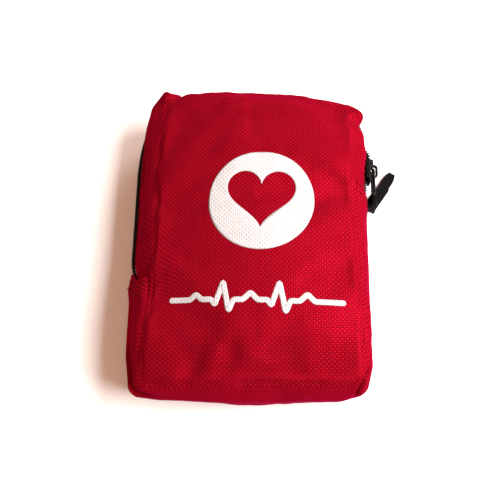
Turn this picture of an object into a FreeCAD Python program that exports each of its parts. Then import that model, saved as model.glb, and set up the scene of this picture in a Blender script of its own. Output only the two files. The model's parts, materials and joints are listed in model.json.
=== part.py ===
"""A soft first aid pouch lying on its back, with its zip, slider, ribbon pull, belt loop and contents.

Row frame: +Z up, +Y towards the top end of the pouch, +X towards the side with the slider.
The origin is the middle of the belt loop's underside, which lies on the surface. Units are millimetres.
"""
import FreeCAD, Part
import math
import os
import Sketcher
from FreeCAD import Placement, Rotation, Vector

doc = FreeCAD.newDocument("FirstAidPouch")
sheet = doc.addObject("Spreadsheet::Sheet", "Sizes")
nodes = {}

# name: (value, what it is). Lengths in mm, angles in degrees.
SIZES = {
    "fabric": (1.0, "thickness of a fabric wall with its coating"),
    "back_z": (2.6, "inner face of the back panel"),
    "loop_gap": (0.5, "slack between belt loop and back panel"),
    "zip_z": (23.0, "height of the zip's centre line"),
    "zip_half": (5.0, "half the width of tape that shows between the gussets"),
    "front_z": (40.0, "inner face of the front panel above the origin"),
    "front_tilt": (4.5, "fall of the front panel towards the top end"),
    "front_shift": (2.5, "how far the front panel has slumped sideways"),
    "back_half_x": (47.0, "back panel half width"),
    "back_half_y": (67.5, "back panel half length"),
    "back_corner": (9.0, "back panel corner radius"),
    "zip_half_x": (52.5, "half width at the zip"),
    "zip_half_y": (71.0, "half length at the zip"),
    "zip_corner": (13.0, "corner radius at the zip"),
    "front_half_x": (44.5, "front panel half width"),
    "front_half_y": (67.0, "front panel half length"),
    "front_corner": (8.0, "front panel corner radius"),
    "zip_end_left": (-18.5, "where the zip ends on the left side"),
    "zip_end_right": (18.7, "where the zip ends on the right side, and the cover folds"),
    "fold_gap": (0.2, "clearance each side of the fold"),
    "tape": (0.6, "thickness of the zip tape"),
    "tape_hidden": (2.5, "tape width sewn behind each gusset"),
    "tape_tail": (6.0, "tape length sewn behind the bottom gusset"),
    "coil_high": (2.2, "thickness of the coil across the tape"),
    "coil_wide": (2.3, "width of each half of the coil"),
    "coil_gap": (0.9, "clearance from the centre line to each coil, for the slider's post"),
    "binding": (1.4, "thickness of the seam binding"),
    "binding_wide": (3.6, "width of the seam binding"),
    "strap_wide": (28.0, "belt loop webbing width"),
    "strap_long": (92.0, "belt loop length"),
    "strap_thick": (1.1, "belt loop webbing thickness"),
    "strap_sewn": (12.0, "length sewn down at each end of the belt loop"),
    "slider_y": (33.0, "middle of the slider at rest"),
    "slider_long": (12.0, "slider length along the zip"),
    "slider_wide": (9.0, "slider width across the zip"),
    "slider_plate": (1.3, "slider plate thickness"),
    "slider_clear": (0.4, "clearance between slider and zip"),
    "post": (1.0, "thickness of the slider's post"),
    "bail_high": (3.4, "height of the bail over the slider"),
    "bail_long": (6.6, "length of the bail along the slider"),
    "bail_wide": (1.6, "width of the bail"),
    "bail_bar": (1.1, "thickness of the bail's bar"),
    "ring_wire": (1.2, "wire diameter of the pull ring"),
    "ring_long": (11.0, "length of the pull ring between its bars"),
    "ring_wide": (7.4, "width of the pull ring over its wire centres"),
    "ribbon_wide": (5.5, "ribbon width"),
    "ribbon_thick": (1.2, "thickness of the doubled ribbon"),
    "packet_gap": (0.15, "air between stacked packets"),
    "blade_thick": (1.3, "scissor blade thickness"),
    "scissor_z": (30.6, "underside of the scissors"),
    "blade_gap": (0.3, "clearance between the two blades"),
    "rivet_r": (1.5, "radius of the scissor rivet"),
    "rivet_clear": (0.08, "clearance round the rivet"),
    "tang_end": (23.0, "end of a blade's tang inside its handle, from the pivot"),
    "scissor_x": (-4.0, "scissor pivot, across"),
    "scissor_y": (8.0, "scissor pivot, along"),
    "tweezer_y": (-52.0, "middle line of the tweezers, along"),
    "tweezer_z": (36.0, "underside of the tweezers"),
    "tweezer_half": (2.6, "half the spread of the tweezers"),
    "tweezer_wide": (4.0, "width of each arm of the tweezers"),
    "blade_long": (46.0, "scissor blade length from the pivot"),
    "handle_thick": (4.0, "scissor handle thickness"),
    "finger_x": (11.5, "middle of a finger loop from the centre line"),
    "finger_y": (34.0, "middle of a finger loop from the pivot"),
    "finger_r": (6.8, "inner radius of a finger loop"),
    "finger_half": (4.5, "half the straight part of a finger loop"),
    "finger_rim": (3.2, "thickness of the rim of a finger loop"),
}


def fill_sheet():
    """Puts every driving dimension in the spreadsheet, one row each."""
    for row, (alias, (value, note)) in enumerate(SIZES.items(), start=1):
        sheet.set(f"A{row}", note)
        sheet.set(f"B{row}", str(value))
        sheet.setAlias(f"B{row}", alias)
    doc.recompute()


def cell(alias):
    """A driving dimension, read back from the spreadsheet."""
    return float(sheet.get(alias))


def bound(text):
    """An expression with every driving dimension's name pointed at the sheet."""
    words, word = [], ""
    for letter in str(text) + " ":
        if letter.isalnum() or letter == "_":
            word += letter
            continue
        words.append(f"Sizes.{word}" if word in SIZES else word)
        words.append(letter)
        word = ""
    return "".join(words).strip()


def bind(item, **places):
    """Binds properties of an object to expressions. Double underscores stand for dots."""
    for name, text in places.items():
        item.setExpression(name.replace("__", "."), bound(text))
    return item


def value_of(text):
    """The number that an expression of driving dimensions gives."""
    probe = doc.addObject("App::FeaturePython", "Probe")
    probe.addProperty("App::PropertyFloat", "Number")
    probe.setExpression("Number", bound(text))
    doc.recompute([probe])
    number = float(probe.Number)
    doc.removeObject(probe.Name)
    return number


def node(name, item):
    """Labels the object that makes a sub-part, and lists it for writing."""
    item.Label = name
    nodes[name] = item
    return item


# ---- sketches -------------------------------------------------------------------------------


def constrain(sketch, kind, *where, text):
    """Adds one dimension to a sketch and binds it to an expression."""
    number = value_of(text)
    index = sketch.addConstraint(Sketcher.Constraint(kind, *where, number))
    sketch.setExpression(f"Constraints[{index}]", bound(text))


def rounded_rectangle(sketch, half_x, half_y, radius, shift="0"):
    """A rectangle with round corners about (shift, 0), every size an expression."""
    hx, hy, r, sx = (value_of(t) for t in (half_x, half_y, radius, shift))
    left, right = sx - hx, sx + hx
    line, arc, circle = Part.LineSegment, Part.ArcOfCircle, Part.Circle
    up = Vector(0, 0, 1)
    sides = [
        ((left + r, -hy), (right - r, -hy)),
        ((right, -hy + r), (right, hy - r)),
        ((right - r, hy), (left + r, hy)),
        ((left, hy - r), (left, -hy + r)),
    ]
    for (ax, ay), (bx, by) in sides:
        sketch.addGeometry(line(Vector(ax, ay, 0), Vector(bx, by, 0)))
    corners = [(right - r, -hy + r, 3), (right - r, hy - r, 0), (left + r, hy - r, 1), (left + r, -hy + r, 2)]
    for x, y, quarter in corners:
        start = quarter * math.pi / 2
        sketch.addGeometry(arc(circle(Vector(x, y, 0), up, r), start, start + math.pi / 2))
    for side in range(4):
        sketch.addConstraint(Sketcher.Constraint("Tangent", side, 2, 4 + side, 1))
        sketch.addConstraint(Sketcher.Constraint("Tangent", 4 + side, 2, (side + 1) % 4, 1))
    for side, kind in enumerate(["Horizontal", "Vertical", "Horizontal", "Vertical"]):
        sketch.addConstraint(Sketcher.Constraint(kind, side))
    for corner in (5, 6, 7):
        sketch.addConstraint(Sketcher.Constraint("Equal", 4, corner))
    constrain(sketch, "Radius", 4, text=radius)
    constrain(sketch, "DistanceX", -1, 1, 1, 1, text=f"({shift}) + ({half_x})")
    constrain(sketch, "DistanceX", 3, 1, 1, 1, text=f"2 * ({half_x})")
    constrain(sketch, "DistanceY", -1, 1, 2, 1, text=half_y)
    constrain(sketch, "DistanceY", 0, 1, 2, 1, text=f"2 * ({half_y})")
    return sketch


def polygon(sketch, points):
    """A closed outline of straight lines through points given as pairs of expressions."""
    places = [Vector(value_of(x), value_of(y), 0) for x, y in points]
    count = len(places)
    first = sketch.GeometryCount
    for i in range(count):
        sketch.addGeometry(Part.LineSegment(places[i], places[(i + 1) % count]))
    for i in range(count):
        sketch.addConstraint(Sketcher.Constraint("Coincident", first + i, 2, first + (i + 1) % count, 1))
    for i, (x, y) in enumerate(points):
        for kind, text in (("DistanceX", x), ("DistanceY", y)):
            if value_of(text) < 0:
                constrain(sketch, kind, first + i, 1, -1, 1, text=f"-({text})")
            else:
                constrain(sketch, kind, -1, 1, first + i, 1, text=text)
    return sketch


def stadium(sketch, x, y, half, radius):
    """A slot outline standing along Y: two half circles joined by straight sides."""
    cx, cy, h, r = (value_of(t) for t in (x, y, half, radius))
    first = sketch.GeometryCount
    up = Vector(0, 0, 1)
    sketch.addGeometry(Part.ArcOfCircle(Part.Circle(Vector(cx, cy + h, 0), up, r), 0, math.pi))
    sketch.addGeometry(Part.LineSegment(Vector(cx - r, cy + h, 0), Vector(cx - r, cy - h, 0)))
    sketch.addGeometry(Part.ArcOfCircle(Part.Circle(Vector(cx, cy - h, 0), up, r), math.pi, 2 * math.pi))
    sketch.addGeometry(Part.LineSegment(Vector(cx + r, cy - h, 0), Vector(cx + r, cy + h, 0)))
    for i in range(4):
        sketch.addConstraint(Sketcher.Constraint("Tangent", first + i, 2, first + (i + 1) % 4, 1))
    sketch.addConstraint(Sketcher.Constraint("Vertical", first + 1))
    constrain(sketch, "Radius", first, text=radius)
    for end, sign in ((first, "+"), (first + 2, "-")):
        text = f"({y}) {sign} ({half})"
        if value_of(text) < 0:
            constrain(sketch, "DistanceY", end, 3, -1, 1, text=f"-({text})")
        else:
            constrain(sketch, "DistanceY", -1, 1, end, 3, text=text)
    if cx < 0:
        constrain(sketch, "DistanceX", first, 3, -1, 1, text=f"-({x})")
    else:
        constrain(sketch, "DistanceX", -1, 1, first, 3, text=x)
    return sketch


# ---- solids ---------------------------------------------------------------------------------


def body(name):
    """An empty PartDesign body."""
    return doc.addObject("PartDesign::Body", name + "_body")


def plane_sketch(owner, name, role="XY_Plane", lift="0"):
    """A sketch on one of a body's own origin planes, lifted along its normal."""
    sketch = owner.newObject("Sketcher::SketchObject", name)
    plane = [f for f in owner.Origin.OriginFeatures if f.Role == role][0]
    sketch.AttachmentSupport = [(plane, "")]
    sketch.MapMode = "FlatFace"
    sketch.setExpression("AttachmentOffset.Base.z", bound(lift))
    return sketch


def pad(owner, sketch, length):
    """Pads a body's sketch by an expression."""
    feature = owner.newObject("PartDesign::Pad", sketch.Name + "_pad")
    feature.Profile = sketch
    bind(feature, Length=length)
    sketch.Visibility = False
    return feature


def round_edges(owner, feature, radius, along=None):
    """Fillets a feature's edges: all of them, or the ones whose direction is along a vector."""
    doc.recompute()
    chosen = []
    for i, edge in enumerate(feature.Shape.Edges, start=1):
        straight = edge.Curve.TypeId == "Part::GeomLine"
        if along is None or straight and abs(edge.tangentAt(edge.FirstParameter).dot(along)) > 0.999:
            chosen.append(f"Edge{i}")
    fillet = owner.newObject("PartDesign::Fillet", feature.Name + "_round")
    fillet.Base = (feature, chosen)
    fillet.Radius = radius
    return fillet


def box(name, x, y, z):
    """A box between pairs of expressions along X, Y and Z."""
    item = doc.addObject("Part::Box", name)
    (x0, x1), (y0, y1), (z0, z1) = x, y, z
    bind(item, Length=f"({x1}) - ({x0})", Width=f"({y1}) - ({y0})", Height=f"({z1}) - ({z0})")
    bind(item, Placement__Base__x=x0, Placement__Base__y=y0, Placement__Base__z=z0)
    return item


def cylinder(name, centre, axis, radius, length):
    """A cylinder about a centre, along a row axis, with expressions for its sizes."""
    item = doc.addObject("Part::Cylinder", name)
    turn = {"X": Rotation(Vector(0, 1, 0), 90), "Y": Rotation(Vector(1, 0, 0), -90), "Z": Rotation()}[axis]
    item.Placement = Placement(Vector(), turn)
    bind(item, Radius=radius, Height=length)
    for letter, text in zip("XYZ", centre):
        start = f"({text}) - ({length}) / 2" if letter == axis else text
        item.setExpression(f"Placement.Base.{letter.lower()}", bound(start))
    return item


def fuse(name, items):
    """One solid of several that overlap."""
    item = doc.addObject("Part::MultiFuse", name)
    item.Shapes = items
    item.Refine = True
    return item


def cut(name, base, tool):
    """The base without the tool."""
    item = doc.addObject("Part::Cut", name)
    item.Base = base
    item.Tool = tool
    return item


def common(name, base, tool):
    """What the base and the tool share."""
    item = doc.addObject("Part::Common", name)
    item.Base = base
    item.Tool = tool
    return item


# ---- the fabric shell -----------------------------------------------------------------------

BIG = "90"  # reaches past the pouch on every side
FOLD_Y = "zip_end_right"


def section(name, z, half_x, half_y, corner, inset, shift="0", tilt="0"):
    """One cross outline of the pouch at a height, drawn in by an inset."""
    sketch = doc.addObject("Sketcher::SketchObject", name)
    rounded_rectangle(sketch, f"{half_x} - ({inset})", f"{half_y} - ({inset})", f"{corner} - ({inset})", shift)
    sketch.Placement = Placement(Vector(), Rotation(Vector(-1, 0, 0), 1))
    return bind(sketch, Placement__Base__z=z, Placement__Rotation__Angle=tilt)


def envelope(name, inset):
    """The whole pouch between its panels, drawn in by an inset: back, two zip sections, front."""
    back = section(name + "_back", "back_z", "back_half_x", "back_half_y", "back_corner", inset)
    low = section(name + "_low", "zip_z - zip_half", "zip_half_x", "zip_half_y", "zip_corner", inset)
    high = section(name + "_high", "zip_z + zip_half", "zip_half_x", "zip_half_y", "zip_corner", inset)
    front = section(
        name + "_front", "front_z", "front_half_x", "front_half_y", "front_corner", inset, "front_shift", "front_tilt"
    )
    loft = doc.addObject("Part::Loft", name)
    loft.Sections = [back, low, high, front]
    loft.Solid = True
    loft.Ruled = True
    return loft


def build_walls():
    """Gussets, zip tapes, coils and seam bindings: layers of the envelope cut to their regions."""
    coil_out = envelope("CoilOuter", "fabric - coil_high")
    outer = envelope("FabricOuter", "0")
    inner = envelope("FabricInner", "fabric")
    tape_in = envelope("TapeInner", "fabric + tape")
    bind_in = envelope("BindingInner", "fabric + binding")
    cloth = cut("ClothLayer", outer, inner)
    tapes = cut("TapeLayer", inner, tape_in)
    coils = cut("CoilLayer", coil_out, inner)
    bindings = cut("BindingLayer", inner, bind_in)

    low, high = "-" + BIG, BIG
    left, right, full = (low, "0"), ("0", high), (low, high)
    cover_y = (f"{FOLD_Y} + fold_gap", high)
    held_y = ("zip_end_left - tape_tail", f"{FOLD_Y} - fold_gap")
    below, above = ("0", "zip_z - zip_half"), ("zip_z + zip_half", BIG)

    def region(name, boxes):
        """One tool made of boxes."""
        parts = [box(f"{name}_{i}", *b) for i, b in enumerate(boxes)]
        return parts[0] if len(parts) == 1 else fuse(name, parts)

    def piece(name, layer, boxes):
        """One wall: a layer of the envelope inside some boxes."""
        return node(name, common(name + "_wall", layer, region(name + "_region", boxes)))

    piece("bottom_gusset", cloth, [
        (full, (low, "zip_end_left"), ("0", BIG)),
        (right, ("zip_end_left", f"{FOLD_Y} - fold_gap"), ("0", BIG)),
    ])
    piece("back_gusset", cloth, [
        (left, ("zip_end_left", high), below),
        (right, (f"{FOLD_Y} - fold_gap", high), below),
    ])
    piece("front_gusset", cloth, [(full, cover_y, above)])
    piece("front_gusset_held", cloth, [(left, ("zip_end_left", held_y[1]), above)])

    tape_low = ("zip_z - zip_half - tape_hidden", "zip_z - coil_gap")
    tape_high = ("zip_z + coil_gap", "zip_z + zip_half + tape_hidden")
    piece("back_zip_tape", tapes, [
        (left, ("zip_end_left - tape_tail", high), tape_low),
        (right, (f"{FOLD_Y} - tape_tail", high), tape_low),
    ])
    piece("front_zip_tape", tapes, [(full, cover_y, tape_high)])
    piece("front_zip_tape_held", tapes, [(left, held_y, tape_high)])

    coil_low = ("zip_z - coil_gap - coil_wide", "zip_z - coil_gap")
    coil_high = ("zip_z + coil_gap", "zip_z + coil_gap + coil_wide")
    piece("back_zip_coil", coils, [
        (left, ("zip_end_left + fold_gap", high), coil_low),
        (right, (f"{FOLD_Y} + fold_gap", high), coil_low),
    ])
    piece("front_zip_coil", coils, [(full, cover_y, coil_high)])
    piece("front_zip_coil_held", coils, [(left, ("zip_end_left + fold_gap", held_y[1]), coil_high)])

    def front_slab(name, y):
        """A slab as deep as the binding, under the sloping front panel, over a stretch of Y."""
        slab = box(name + "_slab", full, (low, high), ("-binding_wide", "binding_wide"))
        slab.Placement = Placement(Vector(), Rotation(Vector(-1, 0, 0), 1))
        bind(slab, Placement__Rotation__Angle="front_tilt", Placement__Base__x=low, Placement__Base__y=low)
        bind(slab, Placement__Base__z=f"front_z + {BIG} * tan(front_tilt * 1deg) - binding_wide")
        return common(name + "_cutter", slab, box(name + "_span", full, y, ("0", BIG)))

    node("front_seam_binding", common("FrontBindCover", bindings, front_slab("BindCover", cover_y)))
    node("front_seam_binding_held", common("FrontBindHeld", bindings, front_slab("BindHeld", (low, held_y[1]))))
    piece("back_seam_binding", bindings, [(full, (low, high), ("0", "back_z + binding_wide"))])


def build_panels():
    """The back panel, and the front panel in two solids that meet at the fold."""
    owner = body("back_panel")
    sketch = plane_sketch(owner, "BackOutline", lift="back_z - fabric")
    rounded_rectangle(sketch, "back_half_x", "back_half_y", "back_corner")
    pad(owner, sketch, "fabric")
    node("back_panel", owner)

    tool_y = {"front_panel": (f"{FOLD_Y} + fold_gap", BIG), "front_panel_lower": ("-" + BIG, f"{FOLD_Y} - fold_gap")}
    for name, span in tool_y.items():
        owner = body(name)
        sketch = plane_sketch(owner, name + "_outline")
        sketch.AttachmentOffset = Placement(Vector(), Rotation(Vector(-1, 0, 0), 1))
        bind(sketch, AttachmentOffset__Base__z="front_z", AttachmentOffset__Rotation__Angle="front_tilt")
        rounded_rectangle(sketch, "front_half_x", "front_half_y", "front_corner", "front_shift")
        pad(owner, sketch, "fabric")
        half = box(name + "_half", ("-" + BIG, BIG), span, ("0", BIG))
        node(name, common(name + "_cloth", owner, half))


def build_belt_loop():
    """A strip of webbing along the back, sewn down at its ends, and its two bar tacks."""
    owner = body("belt_loop")
    sketch = plane_sketch(owner, "LoopProfile", "YZ_Plane", "-strap_wide / 2")
    half, flat, rise = "strap_long / 2", "strap_long / 2 - strap_sewn", "strap_long / 2 - strap_sewn - 3"
    top = "back_z - fabric"
    polygon(sketch, [
        (f"-({half})", f"{top} - strap_thick"), (f"-({flat})", f"{top} - strap_thick"),
        (f"-({rise})", "0"), (rise, "0"),
        (flat, f"{top} - strap_thick"), (half, f"{top} - strap_thick"),
        (half, top), (flat, top),
        (rise, "strap_thick"), (f"-({rise})", "strap_thick"),
        (f"-({flat})", top), (f"-({half})", top),
    ])
    pad(owner, sketch, "strap_wide")
    node("belt_loop", owner)


# ---- zip slider, pull ring and ribbon ---------------------------------------------------------


def build_slider():
    """Two plates joined by a post between the coils, one lip, and the bail that holds the ring."""
    tape_face = "zip_half_x - fabric - tape - slider_clear"
    coil_face = "zip_half_x - fabric + coil_high + slider_clear"
    ends = ("slider_y - slider_long / 2", "slider_y + slider_long / 2")
    wide = ("zip_z - slider_wide / 2", "zip_z + slider_wide / 2")
    inner = box("InnerPlate", (f"{tape_face} - slider_plate", tape_face), ends, wide)
    outer = box("OuterPlate", (coil_face, f"{coil_face} + slider_plate"), ends, wide)
    rounded = []
    for plate in (inner, outer):
        doc.recompute()
        fillet = doc.addObject("Part::Fillet", plate.Name + "_round")
        fillet.Base = plate
        corners = []
        for i, edge in enumerate(plate.Shape.Edges, start=1):
            if abs(edge.tangentAt(edge.FirstParameter).x) > 0.9:
                corners.append((i, 2.4, 2.4))
        fillet.Edges = corners
        rounded.append(fillet)
    post = box(
        "Post", (f"{tape_face} - slider_plate / 2", f"{coil_face} + slider_plate / 2"),
        (ends[0], f"{ends[0]} + 3"), ("zip_z - post / 2", "zip_z + post / 2"),
    )
    lip = box(
        "Lip", (f"{coil_face} - 1.2", f"{coil_face} + slider_plate / 2"),
        (f"{ends[0]} + 2", f"{ends[1]} - 2"), (wide[0], f"{wide[0]} + 0.6"),
    )
    top = f"{coil_face} + slider_plate"
    bar = ("zip_z - bail_wide / 2", "zip_z + bail_wide / 2")
    bail = [
        box("BailFoot1", (f"{top} - 0.3", f"{top} + bail_high"),
            ("slider_y - bail_long / 2", "slider_y - bail_long / 2 + bail_bar"), bar),
        box("BailFoot2", (f"{top} - 0.3", f"{top} + bail_high"),
            ("slider_y + bail_long / 2 - bail_bar", "slider_y + bail_long / 2"), bar),
        box("BailBar", (f"{top} + bail_high - bail_bar", f"{top} + bail_high"),
            ("slider_y - bail_long / 2", "slider_y + bail_long / 2"), bar),
    ]
    node("zip_slider", fuse("Slider", rounded + [post, lip] + bail))


def ring_pivot():
    """The axis that the pull ring turns on, inside the bail: its X and Y."""
    x = cell("zip_half_x") - cell("fabric") + cell("coil_high") + cell("slider_clear") + cell("slider_plate")
    opening = cell("bail_high") - cell("bail_bar")
    return x + opening / 2, cell("slider_y")


def rounded_loop(corners, radius):
    """A closed wire through corners, each corner an arc of one radius."""
    edges, count = [], len(corners)
    ends = []
    for i, corner in enumerate(corners):
        before = (corners[i - 1] - corner).normalize()
        after = (corners[(i + 1) % count] - corner).normalize()
        start, end = corner + before * radius, corner + after * radius
        centre = corner + before * radius + after * radius
        middle = centre + (corner - centre).normalize() * radius
        ends.append((start, middle, end))
    for i, (start, middle, end) in enumerate(ends):
        edges.append(Part.Arc(start, middle, end).toShape())
        edges.append(Part.LineSegment(end, ends[(i + 1) % count][0]).toShape())
    return Part.Wire(edges)


def build_ring():
    """A wire ring whose upper bar passes under the bail, and which hangs along the side."""
    px, py = ring_pivot()
    half, long, wire = cell("ring_wide") / 2, cell("ring_long"), cell("ring_wire")
    z = cell("zip_z")
    corners = [Vector(px, py, z - half), Vector(px, py, z + half),
               Vector(px, py - long, z + half), Vector(px, py - long, z - half)]
    path = rounded_loop(corners, 1.6)
    start = Vector(px, py - long / 2, z + half)
    profile = Part.Wire(Part.makeCircle(wire / 2, start, Vector(0, 1, 0)))
    item = doc.addObject("Part::Feature", "PullRing")
    item.Shape = ring_sweep(path, profile, start)
    node("pull_ring", item)


def ring_sweep(path, profile, start):
    """The solid of a closed pipe, from two halves of its path fused into one."""
    edges = Part.__sortEdges__(path.Edges)
    first = next(i for i, e in enumerate(edges) if e.distToShape(Part.Vertex(start))[0] < 1e-6)
    edge = edges[first]
    ends = [edge.firstVertex(True).Point, edge.lastVertex(True).Point]
    edges = edges[first + 1:] + edges[:first]
    ring = Part.Wire([Part.LineSegment(start, ends[1]).toShape()] + edges
                     + [Part.LineSegment(ends[0], start).toShape()])
    pipe = ring.makePipeShell([profile], True, False)
    return pipe if pipe.ShapeType == "Solid" else Part.Solid(pipe.Shells[0])


def tube_path(points):
    """Straight runs joined by tangent arcs, each arc as large as 0.45 of its shorter run allows."""
    edges, last, radii = [], points[0], []
    for before, corner, after in zip(points, points[1:], points[2:]):
        run_in, run_out = corner - before, after - corner
        turn = run_in.getAngle(run_out)
        reach = 0.45 * min(run_in.Length, run_out.Length)
        radii.append(round(reach / math.tan(turn / 2), 2))
        start = corner - run_in.normalize() * reach
        end = corner + run_out.normalize() * reach
        inward = (start + end) * 0.5 - corner
        sagitta = radii[-1] * (1 / math.cos(turn / 2) - 1)
        middle = corner + inward.normalize() * sagitta
        edges.append(Part.LineSegment(last, start).toShape())
        edges.append(Part.Arc(start, middle, end).toShape())
        last = end
    edges.append(Part.LineSegment(last, points[-1]).toShape())
    return Part.Wire(edges), radii


# The ribbon's route: round the ring's end bar, down to the surface, then along it.
RIBBON_ROUTE = [(56.55, 21.9, 23.0), (56.5, 19.3, 19.6), (55.9, 18.2, 13.6), (55.8, 19.2, 7.6),
                (57.3, 23.0, 2.9), (60.9, 28.6, 0.9), (65.2, 35.0, 0.7), (69.4, 41.6, 0.7)]


def build_ribbon():
    """A flat doubled ribbon along its route, held by the ring."""
    points = [Vector(*p) for p in RIBBON_ROUTE]
    path, radii = tube_path(points)
    wide, thick = cell("ribbon_wide") / 2, cell("ribbon_thick") / 2
    along = (points[1] - points[0]).normalize()
    across = Vector(0.77, -0.64, 0)
    across = (across - along * across.dot(along)).normalize()
    face = along.cross(across).normalize()
    corners = [points[0] + across * (wide * i) + face * (thick * j) for i, j in ((1, 1), (-1, 1), (-1, -1), (1, -1))]
    profile = Part.makePolygon(corners + corners[:1])
    pipe = Part.Wire(path).makePipeShell([profile], True, True)
    solid = pipe if pipe.ShapeType == "Solid" else Part.Solid(pipe.Shells[0])
    expected = 4 * wide * thick * path.Length
    print(f"ribbon: {path.Length:.1f} mm long, radii {radii}, volume {solid.Volume:.1f} of {expected:.1f}")
    item = doc.addObject("Part::Feature", "Ribbon")
    item.Shape = solid
    node("pull_ribbon", item)


# ---- contents -------------------------------------------------------------------------------


def packet_stack(name, x, y, z, size, count, rounding):
    """A stack of equal flat packets, each a box with rounded edges, from z upwards."""
    long, wide, thick = size
    packets = []
    for i in range(count):
        low = f"{z} + {i} * ({thick} + packet_gap)"
        block = box(f"{name}_{i}", (f"{x} - {long} / 2", f"{x} + {long} / 2"),
                    (f"{y} - {wide} / 2", f"{y} + {wide} / 2"), (low, f"{low} + {thick}"))
        doc.recompute()
        fillet = doc.addObject("Part::Fillet", f"{name}_round{i}")
        fillet.Base = block
        fillet.Edges = [(n, rounding, rounding) for n in range(1, 13)]
        packets.append(fillet)
    group = packets[0]
    if count > 1:
        group = doc.addObject("Part::Compound", name + "_stack")
        group.Links = packets
    return node(name, group)


def build_packets():
    """The flat things in the pouch, laid in three layers."""
    packet_stack("antiseptic_wipes", "-18", "-42", "3.2", (44, 42, 1.8), 6, 0.6)
    packet_stack("nitrile_gloves", "-1", "-42", "16.6", (78, 42, 11.5), 1, 4.0)
    packet_stack("sticking_plasters", "-1", "-52", "28.6", (74, 20, 1.0), 6, 0.35)
    packet_stack("triangular_bandage", "-1", "4", "3.2", (80, 44, 12.6), 1, 4.5)
    packet_stack("gauze_swabs", "-3", "4", "16.2", (62, 43, 2.6), 5, 0.9)


def build_rolls():
    """Two rolled bandages and the closure clip of each left out: plain rolls on their sides."""
    node("large_bandage", cylinder("LargeRoll", ("-17", "42", "16.5"), "X", "13", "50"))
    node("small_bandage", cylinder("SmallRoll", ("27", "42", "15.5"), "X", "12", "32"))


def build_tape():
    """A spool of sticking tape: core with one flange, winding, and a snap lid."""
    x, y, low = "24", "-44", "3.2"
    core = cylinder("SpoolCore", (x, y, f"{low} + 6.4"), "Z", "8.6", "10.4")
    flange = cylinder("SpoolFlange", (x, y, f"{low} + 0.6"), "Z", "16.5", "1.2")
    bore = cylinder("SpoolBore", (x, y, f"{low} + 6"), "Z", "4", "14")
    node("tape_spool", cut("Spool", fuse("SpoolBody", [core, flange]), bore))
    winding = cylinder("WindingOuter", (x, y, f"{low} + 6.3"), "Z", "15.6", "9.8")
    node("tape_winding", cut("Winding", winding, cylinder("WindingBore", (x, y, f"{low} + 6"), "Z", "8.65", "16")))
    lid = cylinder("LidDisc", (x, y, f"{low} + 12.2"), "Z", "16.5", "1.1")
    node("tape_lid", cut("Lid", lid, cylinder("LidBore", (x, y, f"{low} + 12"), "Z", "4", "4")))


def scissor_half(side, name, low):
    """One half of the scissors: a blade on one side of the pivot and its handle on the other."""
    s = f"({side})"
    owner = body(name + "_blade")
    sketch = plane_sketch(owner, name + "_blade_outline", lift=low)
    x, y = "scissor_x", "scissor_y"
    polygon(sketch, [
        (f"{x} - {s} * 1.2", f"{y} - blade_long"),
        (f"{x} + {s} * 0.6", f"{y} - blade_long + 1"),
        (f"{x} + {s} * 5.2", f"{y} - 6"),
        (f"{x} + {s} * 5.4", f"{y} + 3"),
        (f"{x} - {s} * 2.4", f"{y} + 16.5"),
        (f"{x} - {s} * 5.4", f"{y} + tang_end"),
        (f"{x} - {s} * 7.6", f"{y} + tang_end"),
        (f"{x} - {s} * 5", f"{y} + 14"),
        (f"{x} - {s} * 5", f"{y} + 2"),
        (f"{x} - {s} * 1.6", f"{y} - 8"),
    ])
    blade = pad(owner, sketch, "blade_thick")
    doc.recompute()
    hole = plane_sketch(owner, name + "_blade_hole", lift=low)
    centre = Vector(cell("scissor_x"), cell("scissor_y"), 0)
    hole.addGeometry(Part.Circle(centre, Vector(0, 0, 1), value_of("rivet_r + rivet_clear")))
    constrain(hole, "Radius", 0, text="rivet_r + rivet_clear")
    constrain(hole, "DistanceX", 0, 3, -1, 1, text="-scissor_x")
    constrain(hole, "DistanceY", -1, 1, 0, 3, text="scissor_y")
    pocket = owner.newObject("PartDesign::Pocket", name + "_pivot_hole")
    pocket.Profile = hole
    pocket.Type = "ThroughAll"
    pocket.Midplane = True
    doc.recompute()
    if not pocket.Shape.Volume < blade.Shape.Volume - 1:
        raise RuntimeError(f"{name}: the pivot hole cut nothing")
    node(name + "_blade", owner)


def scissor_handle(side, name):
    """A moulded handle: a finger loop with a shank that ends against its blade."""
    s = f"({side})"
    x, y = "scissor_x", "scissor_y"
    lift = "scissor_z + blade_thick + (blade_gap - handle_thick) / 2"
    owner = body(name)
    loop = plane_sketch(owner, name + "_loop", lift=lift)
    place = (f"{x} - {s} * finger_x", f"{y} + finger_y")
    stadium(loop, *place, "finger_half", "finger_r + finger_rim")
    stadium(loop, *place, "finger_half", "finger_r")
    pad(owner, loop, "handle_thick")
    shank = plane_sketch(owner, name + "_shank", lift=lift)
    polygon(shank, [
        (f"{x} - {s} * 0.8", f"{y} + 16.3"),
        (f"{x} - {s} * 3.2", f"{y} + 27.5"),
        (f"{x} - {s} * 9.5", f"{y} + 23.2"),
        (f"{x} - {s} * 6.2", f"{y} + 16.3"),
    ])
    pad(owner, shank, "handle_thick")
    node(name, owner)


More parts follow.
